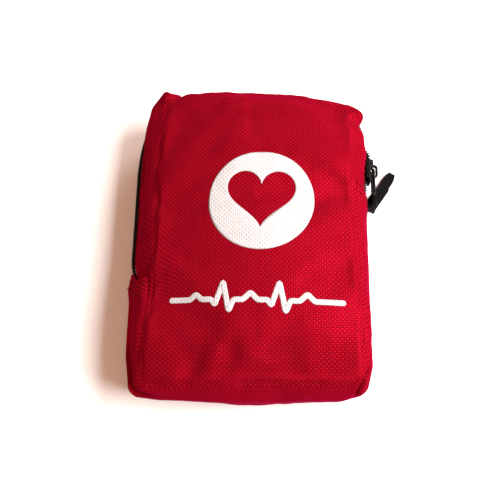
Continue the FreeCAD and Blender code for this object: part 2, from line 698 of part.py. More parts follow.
def build_scissors():
    """Small scissors: two blades on a rivet, each with a moulded handle."""
    scissor_half("1", "lower_scissor", "scissor_z")
    scissor_half("-1", "upper_scissor", "scissor_z + blade_thick + blade_gap")
    scissor_handle("1", "lower_scissor_handle")
    scissor_handle("-1", "upper_scissor_handle")
    x, y = "scissor_x", "scissor_y"
    stack = "2 * blade_thick + blade_gap + 2 * rivet_clear"
    middle = "scissor_z + blade_thick + blade_gap / 2"
    shaft = cylinder("RivetShaft", (x, y, middle), "Z", "rivet_r", f"{stack} + 1")
    heads = [
        cylinder(f"RivetHead{end}", (x, y, f"{middle} + {end} * (({stack}) / 2 + 0.3)"), "Z", "2.6", "0.6")
        for end in (-1, 1)
    ]
    node("scissor_rivet", fuse("Rivet", [shaft] + heads))


def mirrored_outline(points):
    """A closed outline about the tweezers' long axis: along X, each half width given as an expression."""
    lower = [(x, f"tweezer_y - ({half})") for x, half in points]
    upper = [(x, f"tweezer_y + ({half})") for x, half in reversed(points)]
    return lower + upper


def build_tweezers():
    """Sprung tweezers: two arms that meet at one end."""
    owner = body("tweezers")
    tip, wide, bend, heel, half = "-34", "-16", "26", "33", "tweezer_half"
    outline = [(tip, "0.7"), (wide, half), (bend, half), (heel, "1.4")]
    sketch = plane_sketch(owner, "TweezerOutline", lift="tweezer_z")
    polygon(sketch, mirrored_outline(outline))
    outer = pad(owner, sketch, "tweezer_wide")
    gap = [(f"{tip} - 1", "0.15"), (wide, f"{half} - 1"), (bend, f"{half} - 1"), (f"{heel} - 3", "0.5")]
    slot = plane_sketch(owner, "TweezerSlot", lift="tweezer_z")
    polygon(slot, mirrored_outline(gap))
    doc.recompute()
    pocket = owner.newObject("PartDesign::Pocket", "TweezerGap")
    pocket.Profile = slot
    pocket.Type = "ThroughAll"
    pocket.Midplane = True
    doc.recompute()
    if not pocket.Shape.Volume < outer.Shape.Volume - 1:
        raise RuntimeError("the gap in the tweezers cut nothing")
    node("tweezers", owner)


# ---- write ----------------------------------------------------------------------------------


def check_and_write():
    """Stops on any failed object or bad shape, then writes one STEP file for each sub-part."""
    doc.recompute()
    for item in doc.Objects:
        if {"Invalid", "Error"} & set(item.State):
            raise RuntimeError(f"{item.Name} failed: {item.State}")
    os.makedirs("parts", exist_ok=True)
    for old in os.listdir("parts"):
        os.remove(os.path.join("parts", old))
    for name, item in nodes.items():
        shape = item.Shape
        if shape.isNull() or not shape.isValid() or not shape.Solids or shape.Volume <= 0:
            raise RuntimeError(f"{name} has no valid solid")
        Part.Compound(shape.Solids).exportStep(f"parts/{name}.step")
        print(f"{name}: {len(shape.Solids)} solid(s), {shape.Volume:.1f} mm3")


fill_sheet()
build_panels()
build_walls()
build_belt_loop()
build_slider()
build_ring()
build_ribbon()
build_packets()
build_rolls()
build_tape()
build_scissors()
build_tweezers()
check_and_write()
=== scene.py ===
"""A small red first aid pouch lying on its back: the visible model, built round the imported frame.

Sizes in this script are in millimetres, and every mesh is scaled to metres as it is made. X runs across the
pouch, Y along it to its top end, and Z up from its back to its front.
"""
import math

import bmesh
import bpy
import numpy as np
from mathutils import Matrix, Vector
from mathutils.bvhtree import BVHTree
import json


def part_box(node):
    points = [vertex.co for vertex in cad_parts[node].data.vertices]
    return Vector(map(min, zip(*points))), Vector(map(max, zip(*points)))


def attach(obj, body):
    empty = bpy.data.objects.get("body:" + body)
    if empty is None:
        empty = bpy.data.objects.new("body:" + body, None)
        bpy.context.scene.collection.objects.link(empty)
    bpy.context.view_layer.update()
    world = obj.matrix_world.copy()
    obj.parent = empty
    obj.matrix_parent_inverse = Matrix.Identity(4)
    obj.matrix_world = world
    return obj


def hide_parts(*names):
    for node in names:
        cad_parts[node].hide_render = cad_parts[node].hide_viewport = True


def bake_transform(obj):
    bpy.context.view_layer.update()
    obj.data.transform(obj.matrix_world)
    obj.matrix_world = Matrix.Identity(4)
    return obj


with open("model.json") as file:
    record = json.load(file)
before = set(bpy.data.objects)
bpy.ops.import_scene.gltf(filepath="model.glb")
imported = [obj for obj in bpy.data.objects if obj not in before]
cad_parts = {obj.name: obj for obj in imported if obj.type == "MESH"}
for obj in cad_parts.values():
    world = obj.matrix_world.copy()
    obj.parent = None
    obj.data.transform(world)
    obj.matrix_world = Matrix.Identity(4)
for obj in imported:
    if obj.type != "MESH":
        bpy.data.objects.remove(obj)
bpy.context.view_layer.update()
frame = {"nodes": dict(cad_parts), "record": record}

MM = 0.001


# ---- places that come from the frame ----------------------------------------------------------


def box_mm(*names):
    """Lowest and highest corners of some CAD nodes together, in millimetres."""
    lows, highs = zip(*(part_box(name) for name in names))
    return np.min(np.array(lows), axis=0) / MM, np.max(np.array(highs), axis=0) / MM


def joint_place(name):
    """Where a joint turns, in millimetres."""
    joints = {j["name"]: j for j in frame["record"]["behaviour"]["joints"]}
    return np.array(joints[name]["pos_m"]) / MM


BACK_Z = float(box_mm("back_panel")[0][2])
WIDE_HI = box_mm("bottom_gusset", "back_gusset")[1]
FRONT_LO, FRONT_HI = box_mm("front_panel", "front_panel_lower")
LOOP_LO, LOOP_HI = box_mm("belt_loop")
COIL_OUT = float(box_mm("back_zip_coil", "front_zip_coil")[1][0])
SLIDER_LO, SLIDER_HI = box_mm("zip_slider")
FOLD = joint_place("cover_open")
ZIP_Z = float(joint_place("puller_swing")[2])
ZIP_END_LEFT = float(box_mm("front_gusset_held")[0][1])
ZIP_END_RIGHT = float(FOLD[1])


# ---- meshes ----------------------------------------------------------------------------------


def make_mesh(name, verts, faces, uv=None):
    """An object from points in millimetres. uv is one pair for each point, in millimetres too."""
    mesh = bpy.data.meshes.new(name)
    corners = [list(map(int, face)) for face in faces]
    mesh.from_pydata((np.asarray(verts, float) * MM).tolist(), [], corners)
    if uv is not None:
        layer = mesh.uv_layers.new(name="cloth")
        loops = np.empty(len(mesh.loops), np.int32)
        mesh.loops.foreach_get("vertex_index", loops)
        layer.data.foreach_set("uv", np.asarray(uv, np.float32)[loops].ravel())
    mesh.polygons.foreach_set("use_smooth", [True] * len(mesh.polygons))
    mesh.validate()
    piece = bpy.data.objects.new(name, mesh)
    bpy.context.scene.collection.objects.link(piece)
    return piece


def join_parts(parts):
    """One list of points and faces from several."""
    verts, faces, base = [], [], 0
    for part_verts, part_faces in parts:
        verts.extend(np.asarray(part_verts, float).tolist())
        faces.extend([[i + base for i in f] for f in part_faces])
        base += len(part_verts)
    return np.array(verts), faces


def grid(rows, count, wrapped=False):
    """The indices of points that are laid out in rows. wrapped repeats the first of each row at its end."""
    index = np.arange(rows * count).reshape(rows, count)
    return np.hstack([index, index[:, :1]]) if wrapped else index


def closed_grid(rows, count, wrapped=False):
    """A grid whose last row is its first again."""
    index = grid(rows, count, wrapped)
    return np.vstack([index, index[:1]])


def quads(index, down=False):
    """Faces between the neighbours in a grid of indices. Each goes along its row first, or down first."""
    corners = [index[:-1, :-1], index[:-1, 1:], index[1:, 1:], index[1:, :-1]]
    if down:
        corners = corners[:1] + corners[:0:-1]
    return np.stack(corners, axis=2).reshape(-1, 4).tolist()


def tube_faces(rows, count):
    """Faces round a stack of rings, closed at both ends."""
    index = grid(rows, count, wrapped=True)
    return quads(index) + [index[0, -2::-1].tolist(), index[-1, :-1].tolist()]


def flipped(faces):
    """Faces that look the other way."""
    return [face[::-1] for face in faces]


def unit(vectors):
    """Vectors at length one."""
    vectors = np.asarray(vectors, float)
    return vectors / np.maximum(np.linalg.norm(vectors, axis=-1, keepdims=True), 1e-9)


def tangents(path, closed=False):
    """The direction of a path at each of its points."""
    path = np.asarray(path, float)
    if closed:
        return unit(np.roll(path, -1, axis=0) - np.roll(path, 1, axis=0))
    return unit(np.gradient(path, axis=0))


def sweep(path, profile, ups, closed=False):
    """A profile of (side, up) pairs carried along a path. ups says which way is up at each point."""
    path, profile = np.asarray(path, float), np.asarray(profile, float)
    along = tangents(path, closed)
    side = unit(np.cross(along, np.broadcast_to(np.asarray(ups, float), path.shape)))
    up = np.cross(side, along)
    rings = path[:, None] + side[:, None] * profile[None, :, :1] + up[:, None] * profile[None, :, 1:]
    size = len(path), len(profile)
    faces = quads(closed_grid(*size, wrapped=True)) if closed else tube_faces(*size)
    return rings.reshape(-1, 3), faces


def circle_profile(radius):
    """A round profile, as a hexagon: what it is used for is a millimetre thick or less."""
    angles = np.arange(6) * 2 * math.pi / 6
    return np.stack([radius * np.cos(angles), radius * np.sin(angles)], axis=1)


def slab_profile(half_side, low, high):
    """A rectangular profile."""
    return [(-half_side, low), (half_side, low), (half_side, high), (-half_side, high)]


def smoothstep(low, high, value):
    """0 before low, 1 after high, and smooth between them. With low above high it falls."""
    t = np.clip((np.asarray(value, float) - low) / (high - low), 0, 1)
    return t * t * (3 - 2 * t)


def peak(centre, width, value):
    """1 at a centre, falling smoothly to both sides of it."""
    return np.exp(-(((value - centre) / width) ** 2))


def step_lengths(path):
    """How far along a path each of its points is."""
    return np.concatenate([[0], np.cumsum(np.linalg.norm(np.diff(path, axis=0), axis=1))])


def resample(path, step):
    """Points evenly spaced along a path."""
    path = np.asarray(path, float)
    lengths = step_lengths(path)
    places = np.linspace(0, lengths[-1], max(2, int(round(lengths[-1] / step)) + 1))
    return np.stack([np.interp(places, lengths, path[:, i]) for i in range(3)], axis=1)


def spread(directions, count):
    """Directions along a line, for another number of points on it."""
    directions = np.asarray(directions, float)
    places = np.linspace(0, len(directions) - 1, count)
    known = range(len(directions))
    return unit(np.stack([np.interp(places, known, directions[:, i]) for i in range(3)], axis=1))


def catmull_rom(points, per_side):
    """A smooth line from the second of some points to the last but one, which it leaves out."""
    out = []
    for i in range(1, len(points) - 2):
        a, b, c, d = points[i - 1:i + 3]
        for t in np.arange(per_side) / per_side:
            out.append(0.5 * (2 * b + (c - a) * t + (2 * a - 5 * b + 4 * c - d) * t**2
                              + (3 * b - a - 3 * c + d) * t**3))
    return out


def smooth_loop(points, per_side):
    """A smooth closed line through points."""
    points = np.asarray(points, float)
    return np.array(catmull_rom(np.concatenate([points[-1:], points, points[:2]]), per_side))


def smooth_line(points, per_side):
    """A smooth open line through points."""
    points = np.asarray(points, float)
    before, after = 2 * points[0] - points[1], 2 * points[-1] - points[-2]
    return np.array(catmull_rom([before, *points, after], per_side) + [points[-1]])


def modifier(piece, kind, **settings):
    """Adds a modifier and sets it up."""
    made = piece.modifiers.new(kind.title(), kind)
    for key, value in settings.items():
        setattr(made, key, value)
    return made


def finish_piece(piece, material, body, *nodes, slot=None):
    """Gives a piece its material, the body it rides on and the CAD nodes it stands for. slot is not used."""
    piece.data.materials.clear()
    piece.data.materials.append(material)
    if body == "cover_blend":
        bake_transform(piece)
    else:
        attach(piece, body)
    if nodes:
        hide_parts(*nodes)
    return piece


# ---- materials -------------------------------------------------------------------------------

CLOTH_PITCH = 0.96  # of the shell's weave
THREAD_ROUNDNESS = 0.28  # power of the sine across a thread: the smaller, the flatter its top
THREAD_DIP = 0.72  # height of a thread's top where it dives under the next one


class Shader:
    """A material's node tree, with short calls for the nodes that this script uses."""

    def __init__(self, name, roughness, **sockets):
        self.material = bpy.data.materials.new(name)
        self.material.use_nodes = True
        self.tree = self.material.node_tree
        self.bsdf = self.tree.nodes["Principled BSDF"]
        self.bsdf.inputs["Roughness"].default_value = roughness
        for key, value in sockets.items():
            self.bsdf.inputs[key.replace("_", " ")].default_value = value

    def node(self, kind, **settings):
        made = self.tree.nodes.new("ShaderNode" + kind)
        for key, value in settings.items():
            setattr(made, key, value)
        return made

    def plug(self, value, socket):
        if isinstance(value, bpy.types.NodeSocket):
            self.tree.links.new(value, socket)
        else:
            socket.default_value = value

    def math(self, operation, *values):
        made = self.node("Math", operation=operation)
        for i, value in enumerate(values):
            self.plug(value, made.inputs[i])
        return made.outputs[0]

    def times(self, *values):
        """The product of some values."""
        product = values[0]
        for value in values[1:]:
            product = self.math("MULTIPLY", product, value)
        return product

    def plus(self, first, second):
        return self.math("ADD", first, second)

    def rest(self, value):
        """What a value lacks of 1."""
        return self.math("SUBTRACT", 1.0, value)

    def mix(self, share, low, high):
        """Mixes two colours."""
        made = self.node("Mix", data_type="RGBA")
        self.plug(share, made.inputs[0])
        self.plug(low, made.inputs[6])
        self.plug(high, made.inputs[7])
        return made.outputs[2]

    def place(self):
        """The point in the object, in millimetres."""
        scaled = self.node("VectorMath", operation="SCALE")
        self.plug(self.node("TexCoord").outputs["Object"], scaled.inputs[0])
        scaled.inputs["Scale"].default_value = 1 / MM
        return scaled.outputs[0]

    def noise(self, scale, detail=3.0, vector=None):
        """Smooth noise with features of about 1/scale millimetres."""
        made = self.node("TexNoise")
        self.plug(vector or self.place(), made.inputs["Vector"])
        made.inputs["Scale"].default_value = scale
        made.inputs["Detail"].default_value = detail
        return made.outputs["Fac"]

    def ramp(self, value, low, high, to_low=0.0, to_high=1.0):
        """Maps a range of a value to another range, with no overshoot."""
        made = self.node("MapRange")
        self.plug(value, made.inputs[0])
        for i, number in enumerate((low, high, to_low, to_high), start=1):
            made.inputs[i].default_value = number
        return made.outputs[0]

    def patches(self, scale, detail, low, high, to_low=0.0, to_high=1.0):
        """Noise whose range from low to high is mapped to another range."""
        return self.ramp(self.noise(scale, detail), low, high, to_low, to_high)

    def cloth_uv(self):
        """The cloth's own flat coordinates in millimetres, across and along."""
        split = self.node("SeparateXYZ")
        self.plug(self.node("UVMap", uv_map="cloth").outputs[0], split.inputs[0])
        return split.outputs[0], split.outputs[1]

    def rough(self, value):
        self.plug(value, self.bsdf.inputs["Roughness"])

    def bump(self, height, distance):
        """Bump from a height of 0 to 1 that stands for a distance in millimetres."""
        made = self.node("Bump")
        made.inputs["Distance"].default_value = distance * MM
        self.plug(height, made.inputs["Height"])
        self.plug(made.outputs[0], self.bsdf.inputs["Normal"])

    def colour(self, value):
        self.plug(value, self.bsdf.inputs["Base Color"])
        return self


def weave(shader, across, along, pitch):
    """A plain weave: its height, and which thread is on top (0 or 1)."""
    u, v = shader.math("DIVIDE", across, pitch), shader.math("DIVIDE", along, pitch)
    weft_up = shader.math("PINGPONG", shader.plus(shader.math("FLOOR", u), shader.math("FLOOR", v)), 1.0)
    u_hump, v_hump = (shader.math("SINE", shader.times(shader.math("FRACT", w), math.pi)) for w in (u, v))

    def thread(width_hump, length_hump):
        crown = shader.math("POWER", width_hump, THREAD_ROUNDNESS)
        return shader.times(crown, shader.ramp(length_hump, 0.0, 1.0, THREAD_DIP, 1.0))

    warp, weft = thread(u_hump, v_hump), thread(v_hump, u_hump)
    return shader.plus(shader.times(weft, weft_up), shader.times(warp, shader.rest(weft_up))), weft_up


def fabric_material(name, dark, bright):
    """Coarse woven polyester, with the weave's light painted into its colour: a painted highlight on the tops
    of one set of threads, and painted shade in the gaps between threads.
    """
    shader = Shader(name, 0.5, Metallic=0.3, Specular_IOR_Level=0.0, Specular_Tint=(1.0, 0.08, 0.5, 1.0),
                    Sheen_Weight=0.05, Sheen_Roughness=0.4, Sheen_Tint=(1.0, 0.03, 0.4, 1.0))
    height, weft_up = weave(shader, *shader.cloth_uv(), CLOTH_PITCH)
    # painted highlight on the weft's tops, less on the warp's, and painted shade in the gaps between threads
    painted_thread_shading = shader.times(shader.ramp(weft_up, 0.0, 1.0, 0.54, 1.0), height)
    worn = shader.patches(0.05, 4.0, 0.3, 0.7, 0.88, 1.12)
    fuzz = shader.patches(1.7, 2.0, 0.25, 0.75, 0.82, 1.12)
    shader.colour(shader.mix(shader.ramp(shader.times(painted_thread_shading, worn, fuzz), 0.1, 0.95), dark, bright))
    shader.bump(height, 0.16)
    shader.rough(shader.ramp(height, 0.0, 1.0, 0.7, 0.46))
    return shader.material


def print_material():
    """White screen print on the weave: it fills the threads' tops and leaves pin holes between them."""
    shader = Shader("screen_print", 0.55, Specular_IOR_Level=0.35)
    height, weft_up = weave(shader, *shader.cloth_uv(), CLOTH_PITCH)
    bare = shader.times(shader.rest(weft_up), shader.ramp(height, 0.7, 0.98))
    holes = shader.times(bare, shader.patches(0.3, 2.0, 0.35, 0.62, 0.4, 0.8))
    clean, soiled, cloth = (0.49, 0.49, 0.50, 1), (0.455, 0.45, 0.455, 1), (0.26, 0.20, 0.21, 1)
    ink = shader.mix(shader.patches(0.12, 4.0, 0.35, 0.75), clean, soiled)
    shader.colour(shader.mix(holes, ink, cloth))
    shader.bump(height, 0.12)
    return shader.material


def tape_material(name, dark, pale, pitch):
    """Fine ribbed tape or webbing: a small weave of dull threads, with painted highlight and painted shade of
    the weave in its colour.
    """
    shader = Shader(name, 0.75, Specular_IOR_Level=0.06)
    height, weft_up = weave(shader, *shader.cloth_uv(), pitch)
    # painted highlight on the weft's tops and painted shade in the gaps between threads, from the weave's
    # height
    shader.colour(shader.mix(shader.times(height, shader.ramp(weft_up, 0, 1, 0.6, 1.0)), dark, pale))
    shader.bump(height, 0.16)
    return shader.material


def crepe_material(name, dark, bright):
    """Stretchy crepe: fine threads, puckered into crosswise crinkles, with painted shade in their hollows and
    a painted highlight on their tops.
    """
    shader = Shader(name, 0.85, Sheen_Weight=0.2, Sheen_Roughness=0.5, Specular_IOR_Level=0.1)
    height, _ = weave(shader, *shader.cloth_uv(), 0.55)
    crinkled = shader.plus(shader.times(height, 0.5), shader.times(shader.noise(1.2, 4.0), 0.6))
    # the colour follows the crinkles' height: painted shade in the hollows and gaps, painted highlight on the
    # tops
    shader.colour(shader.mix(crinkled, dark, bright))
    shader.bump(crinkled, 0.35)
    return shader.material


def wrapper_material(name, ground, band, gloss, band_width=9.0, **sockets):
    """A printed paper or film wrapper: a plain coloured band across it, fine creases and a light gloss."""
    shader = Shader(name, gloss, Coat_Weight=0.25, **sockets)
    across, _ = shader.cloth_uv()
    inside = shader.ramp(shader.math("ABSOLUTE", across), band_width, band_width + 0.3, 1.0, 0.0)
    mottled = shader.mix(shader.patches(0.25, 4.0, 0.3, 0.7, 0.0, 0.5), ground, (0.55, 0.55, 0.56, 1))
    shader.colour(shader.mix(inside, mottled, band))
    creases = shader.math("ABSOLUTE", shader.math("SUBTRACT", shader.noise(0.35), 0.5))
    shader.bump(shader.ramp(creases, 0.0, 0.12), 0.5)
    return shader.material


def wound_material(name, dark, bright, layer=0.32):
    """The side and edge of a wound tape: thin rings where its layers show, each darker towards its groove,
    which is painted shade.
    """
    shader = Shader(name, 0.6, Specular_IOR_Level=0.3)
    split = shader.node("SeparateXYZ")
    shader.plug(shader.place(), split.inputs[0])
    rings = shader.math("DIVIDE", shader.math("PINGPONG", split.outputs[2], layer), layer)
    grain = shader.plus(rings, shader.times(shader.noise(2.0), 0.7))
    # the colour follows the rings' height: the rings are the layers' own edges, and their darker low sides
    # are painted shade
    shader.colour(shader.mix(shader.ramp(grain, 0.2, 1.5), dark, bright))
    shader.bump(grain, 0.06)
    return shader.material


def plastic_material(name, colour, pale, roughness, grain=3.0, depth=0.02, **sockets):
    """Moulded or extruded plastic with a faint grain and slight colour drift."""
    shader = Shader(name, roughness, **sockets)
    shader.colour(shader.mix(shader.patches(0.15, 3.0, 0.3, 0.7), colour, pale))
    texture = shader.noise(grain)
    shader.rough(shader.ramp(texture, 0.3, 0.7, roughness - 0.08, roughness + 0.1))
    shader.bump(texture, depth)
    return shader.material


def metal_material(name, colour, edge, roughness, metallic, wear):
    """Metal, brushed or lacquered, with fine scratches along its length and brighter worn spots."""
    shader = Shader(name, roughness, Metallic=metallic, Specular_IOR_Level=0.1)
    stretched = shader.node("Mapping")
    stretched.inputs["Scale"].default_value = (6.0, 0.25, 6.0)
    shader.plug(shader.place(), stretched.inputs["Vector"])
    lines = shader.noise(1.0, 5.0, stretched.outputs[0])
    shader.colour(shader.mix(shader.times(shader.patches(0.9, 4.0, 0.56, 0.74), wear), colour, edge))
    shader.rough(shader.ramp(lines, 0.3, 0.7, roughness - 0.1, roughness + 0.12))
    shader.bump(lines, 0.015)
    return shader.material


# ---- the shape of the pouch -------------------------------------------------------------------
#
# The wall is a stack of rounded rectangles, each with the same number of stations, which start in the
# middle of the corner at (-X, -Y) and run towards +X first.

ROUND = 12  # stations round each corner
ACROSS = 40 + ROUND  # stations from corner to corner along X
ALONG = 58 + ROUND  # and along Y
AROUND = 2 * (ACROSS + ALONG)
SEAM_TOP, SEAM_MID, SEAM_LOW = 34.4, 41.0, 40.6  # height of the front seam at the top end, middle and bottom
CROWN = 5.4  # how far the front panel stands above its seam
BACK_CROWN = 0.6  # and the back panel, inward
CROWN_POWER_X, CROWN_POWER_Y = 2.3, 3.6  # the higher, the flatter its middle and the steeper its edges
CLOTH = 0.9  # thickness of the cloth
SEWN_SLACK = 1.06  # cut size of a panel over the size that it spans, because it crowns
LAP = 6  # stations over which the bottom gusset's hem stands out over the zip ends
HEM_LEFT, HEM_RIGHT = 1.0, 0.4  # how far it stands out
DIVE_LEFT, DIVE_RIGHT = 1.2, 0.5  # how far the other gussets dive in under it
PANEL_UV_START = 200.0  # keeps a panel's flat coordinates above zero


def rounded_ring(half_x, half_y, radius_top, radius_low, shift):
    """A rounded rectangle with AROUND stations. Its corners at the top end have their own radius."""
    points = []
    corners = [(1, -1, ACROSS), (1, 1, ALONG), (-1, 1, ACROSS), (-1, -1, ALONG)]
    half = ROUND // 2

    def on_corner(which, degrees):
        sx, sy = corners[which][:2]
        radius = radius_top if sy > 0 else radius_low
        angle = math.radians(degrees)
        return np.array([sx * (half_x - radius) + radius * math.cos(angle),
                         sy * (half_y - radius) + radius * math.sin(angle)])

    for i, (_, _, count) in enumerate(corners):
        facing = 270 + 90 * i
        points += [on_corner(i - 1, facing - 90 * (half - k) / ROUND) for k in range(half)]
        first, last = on_corner(i - 1, facing), on_corner(i, facing)
        points += [first + (last - first) * k / (count - ROUND) for k in range(count - ROUND)]
        points += [on_corner(i, facing + 90 * k / ROUND) for k in range(half)]
    return np.array(points) + (shift, 0)


def seam_height(y):
    """Height of the front seam: it falls towards the top end and a little towards the bottom."""
    half = WIDE_HI[1]
    tilt = (SEAM_TOP - SEAM_LOW) / (2 * half)
    sag = (SEAM_TOP + SEAM_LOW) / 2 - SEAM_MID
    return SEAM_MID + tilt * y + sag * (y / half) ** 2


def level(z, inset, corners, rise=0.0, shift=0.0):
    """One ring of the wall, at a height, drawn in from the widest outline along X and Y. corners are its
    corner radii at the top end and at the bottom, rise is the share of the way up to the front seam."""
    flat = rounded_ring(WIDE_HI[0] - inset[0], WIDE_HI[1] - inset[1], *corners, shift)
    return np.column_stack([flat, z + rise * (seam_height(flat[:, 1]) - z)])


ZIP_HALF = 5.0
ZIP_LOW, ZIP_HIGH = ZIP_Z - ZIP_HALF, ZIP_Z + ZIP_HALF
FRONT_INSET = (WIDE_HI[0] - (FRONT_HI[0] - FRONT_LO[0]) / 2, WIDE_HI[1] - FRONT_HI[1])
FRONT_SHIFT = (FRONT_HI[0] + FRONT_LO[0]) / 2
KEY_RINGS = [
    level(0.9, (6.8, 4.6), (8.5, 5.0)),
    level(3.0, (4.6, 2.6), (9.5, 5.0)),
    level(9.5, (1.6, 0.7), (11.5, 4.5)),
    level(ZIP_LOW, (0, 0), (13.0, 4.5)),
    level(ZIP_Z, (0, 0), (13.0, 4.5)),
    level(ZIP_HIGH, (0, 0), (13.0, 4.5)),
    level(ZIP_HIGH, (1.7, 0.6), (10.0, 4.5), 0.45, 0.6),
    level(ZIP_HIGH, (4.6, 2.2), (7.5, 4.0), 0.84, 1.7),
    level(ZIP_HIGH, FRONT_INSET, (5.5, 4.0), 1.0, FRONT_SHIFT),
]
KEY_ROWS = [0, 2, 5, 9, 11, 13, 16, 18, 20]
ROWS = KEY_ROWS[-1]
ROW_LOW, ROW_MID, ROW_HIGH = KEY_ROWS[3:6]  # the rows below, on and above the zip's middle line
MIDDLE_RING = KEY_RINGS[4]


def wall_rings():
    """All rows of the wall, each eased between the key rings beside it."""
    rows, last = [], len(KEY_ROWS) - 1
    for row in range(ROWS + 1):
        i = max(k for k in range(last) if KEY_ROWS[k] <= row)
        before, after = max(i - 1, 0), min(i + 2, last)
        span = KEY_ROWS[i + 1] - KEY_ROWS[i]
        t = (row - KEY_ROWS[i]) / span
        a, b = KEY_RINGS[i], KEY_RINGS[i + 1]
        slope_a = (b - KEY_RINGS[before]) * span / (KEY_ROWS[i + 1] - KEY_ROWS[before])
        slope_b = (KEY_RINGS[after] - a) * span / (KEY_ROWS[after] - KEY_ROWS[i])
        rows.append((2 * t**3 - 3 * t**2 + 1) * a + (t**3 - 2 * t**2 + t) * slope_a
                    + (3 * t**2 - 2 * t**3) * b + (t**3 - t**2) * slope_b)
    return np.array(rows)


def panel_grid(ring, crown):
    """A sheet that spans a ring, with a crown between its edges. Its edge points are the ring's."""
    bottom, right = ring[:ACROSS + 1], ring[ACROSS:ACROSS + ALONG + 1]
    top = ring[ACROSS + ALONG:2 * ACROSS + ALONG + 1][::-1]
    left = np.concatenate([ring[2 * ACROSS + ALONG:], ring[:1]])[::-1]
    u = np.linspace(0, 1, ACROSS + 1)[:, None, None]
    v = np.linspace(0, 1, ALONG + 1)[None, :, None]
    ruled_y = (1 - v) * bottom[:, None] + v * top[:, None]
    ruled_x = (1 - u) * left[None] + u * right[None]
    corners = ((1 - u) * (1 - v) * ring[0] + u * (1 - v) * ring[ACROSS]
               + u * v * ring[ACROSS + ALONG] + (1 - u) * v * ring[2 * ACROSS + ALONG])
    sheet = ruled_y + ruled_x - corners
    shape = (1 - np.abs(2 * u - 1) ** CROWN_POWER_X) * (1 - np.abs(2 * v - 1) ** CROWN_POWER_Y)
    sheet[:, :, 2] += (crown * shape)[:, :, 0]
    return sheet


class Shell:
    """The sewn shell as one closed mesh, with its faces sorted into the pieces it is cut from."""

    def __init__(self):
        walls = wall_rings()
        self.points = list(walls.reshape(-1, 3))
        self.front = self.add_panel(panel_grid(walls[ROWS], CROWN), ROWS)
        self.back = self.add_panel(panel_grid(walls[0], BACK_CROWN), 0)
        self.points = np.array(self.points)
        self.flat = self.points.copy()
        self.uv, self.girth = self.wall_uv(walls)

    @staticmethod
    def wall(row, station):
        """The index of a wall point."""
        return row * AROUND + station % AROUND

    def add_panel(self, sheet, row):
        """Adds a panel's inner points, and returns the indices of all its points. Its edge is a ring's."""
        stations = np.zeros(sheet.shape[:2], int)
        stations[:, 0] = np.arange(ACROSS + 1)
        stations[-1] = ACROSS + np.arange(ALONG + 1)
        stations[:, -1] = ACROSS + ALONG + np.arange(ACROSS + 1)[::-1]
        stations[0] = 2 * ACROSS + ALONG + np.arange(ALONG + 1)[::-1]
        index = self.wall(row, stations)
        inner = sheet[1:-1, 1:-1]
        index[1:-1, 1:-1] = len(self.points) + grid(*inner.shape[:2])
        self.points.extend(inner.reshape(-1, 3))
        return index

    @staticmethod
    def wall_uv(walls):
        """Flat coordinates on the wall in millimetres, round the pouch and up it, and the way round."""
        middle = walls[ROW_MID]
        steps = np.linalg.norm(np.roll(middle, -1, axis=0) - middle, axis=1)
        around = np.concatenate([[0], np.cumsum(steps)])[:-1]
        climbs = np.linalg.norm(np.diff(walls, axis=0), axis=2).mean(axis=1)
        up = np.concatenate([[0], np.cumsum(climbs)])
        return np.stack(np.meshgrid(around, up), axis=2).reshape(-1, 2), steps.sum()

    def wall_faces(self, rows, stations):
        """Faces of the wall between two rows, over a run of stations."""
        all_rows, all_stations = np.arange(rows[0], rows[1] + 1), np.arange(stations[0], stations[1] + 1)
        return quads(self.wall(all_rows[:, None], all_stations))

    def all_faces(self):
        return (self.wall_faces((0, ROWS), (0, AROUND)) + quads(self.front, down=True)
                + flipped(quads(self.back, down=True)))


def station_at(y, side):
    """The station nearest to a height along the pouch, on the right (+1) or the left (-1) side."""
    stations = range(ACROSS, ACROSS + ALONG) if side > 0 else range(2 * ACROSS + ALONG, AROUND)
    return min(stations, key=lambda s: abs(MIDDLE_RING[s % AROUND, 1] - y))


EDGE_RIGHT = station_at(ZIP_END_RIGHT - 0.7, 1)  # where the bottom gusset's hem covers the zip's ends
EDGE_LEFT = station_at(ZIP_END_LEFT, -1)


# ---- how the cloth lies: simulation, then the folds that the real one has ------------------------

SETTLE_FRAMES = 18
SETTLE_SHARE, SETTLE_MOST = 0.5, 3.2  # how much of the simulated move is kept, and its largest length


def settle(shell):
    """Fills the shell a little with Blender's Cloth, its zip and back held, so that its panels pillow."""
    piece = make_mesh("settling", shell.points, shell.all_faces())
    held = piece.vertex_groups.new(name="held")
    grips = {0: 1.0, 1: 0.8, ROWS: 0.55, **{row: 1.0 for row in range(ROW_LOW, ROW_HIGH + 1)}}
    for row, grip in grips.items():
        held.add([shell.wall(row, s) for s in range(AROUND)], grip, "REPLACE")
    held.add([int(i) for i in shell.back.ravel()], 1.0, "REPLACE")
    cloth = piece.modifiers.new("Cloth", "CLOTH")
    cloth.collision_settings.use_collision = False
    cloth.settings.effector_weights.gravity = 0.0
    for name, value in (
        ("quality", 6), ("mass", 0.2), ("tension_stiffness", 18), ("compression_stiffness", 18),
        ("shear_stiffness", 6), ("bending_stiffness", 0.6), ("use_pressure", True),
        ("uniform_pressure_force", 1.6), ("shrink_min", -0.035), ("vertex_group_mass", "held"),
    ):
        setattr(cloth.settings, name, value)
    scene = bpy.context.scene
    for number in range(1, SETTLE_FRAMES + 1):
        scene.frame_set(number)
    view = piece.evaluated_get(bpy.context.evaluated_depsgraph_get())
    moved = np.array([v.co for v in view.data.vertices]) / MM
    scene.frame_set(1)
    bpy.data.objects.remove(piece)
    shift = moved - shell.points
    length = np.linalg.norm(shift, axis=1, keepdims=True)
    shell.points += SETTLE_SHARE * shift * np.minimum(1.0, SETTLE_MOST / np.maximum(length, 1e-9))


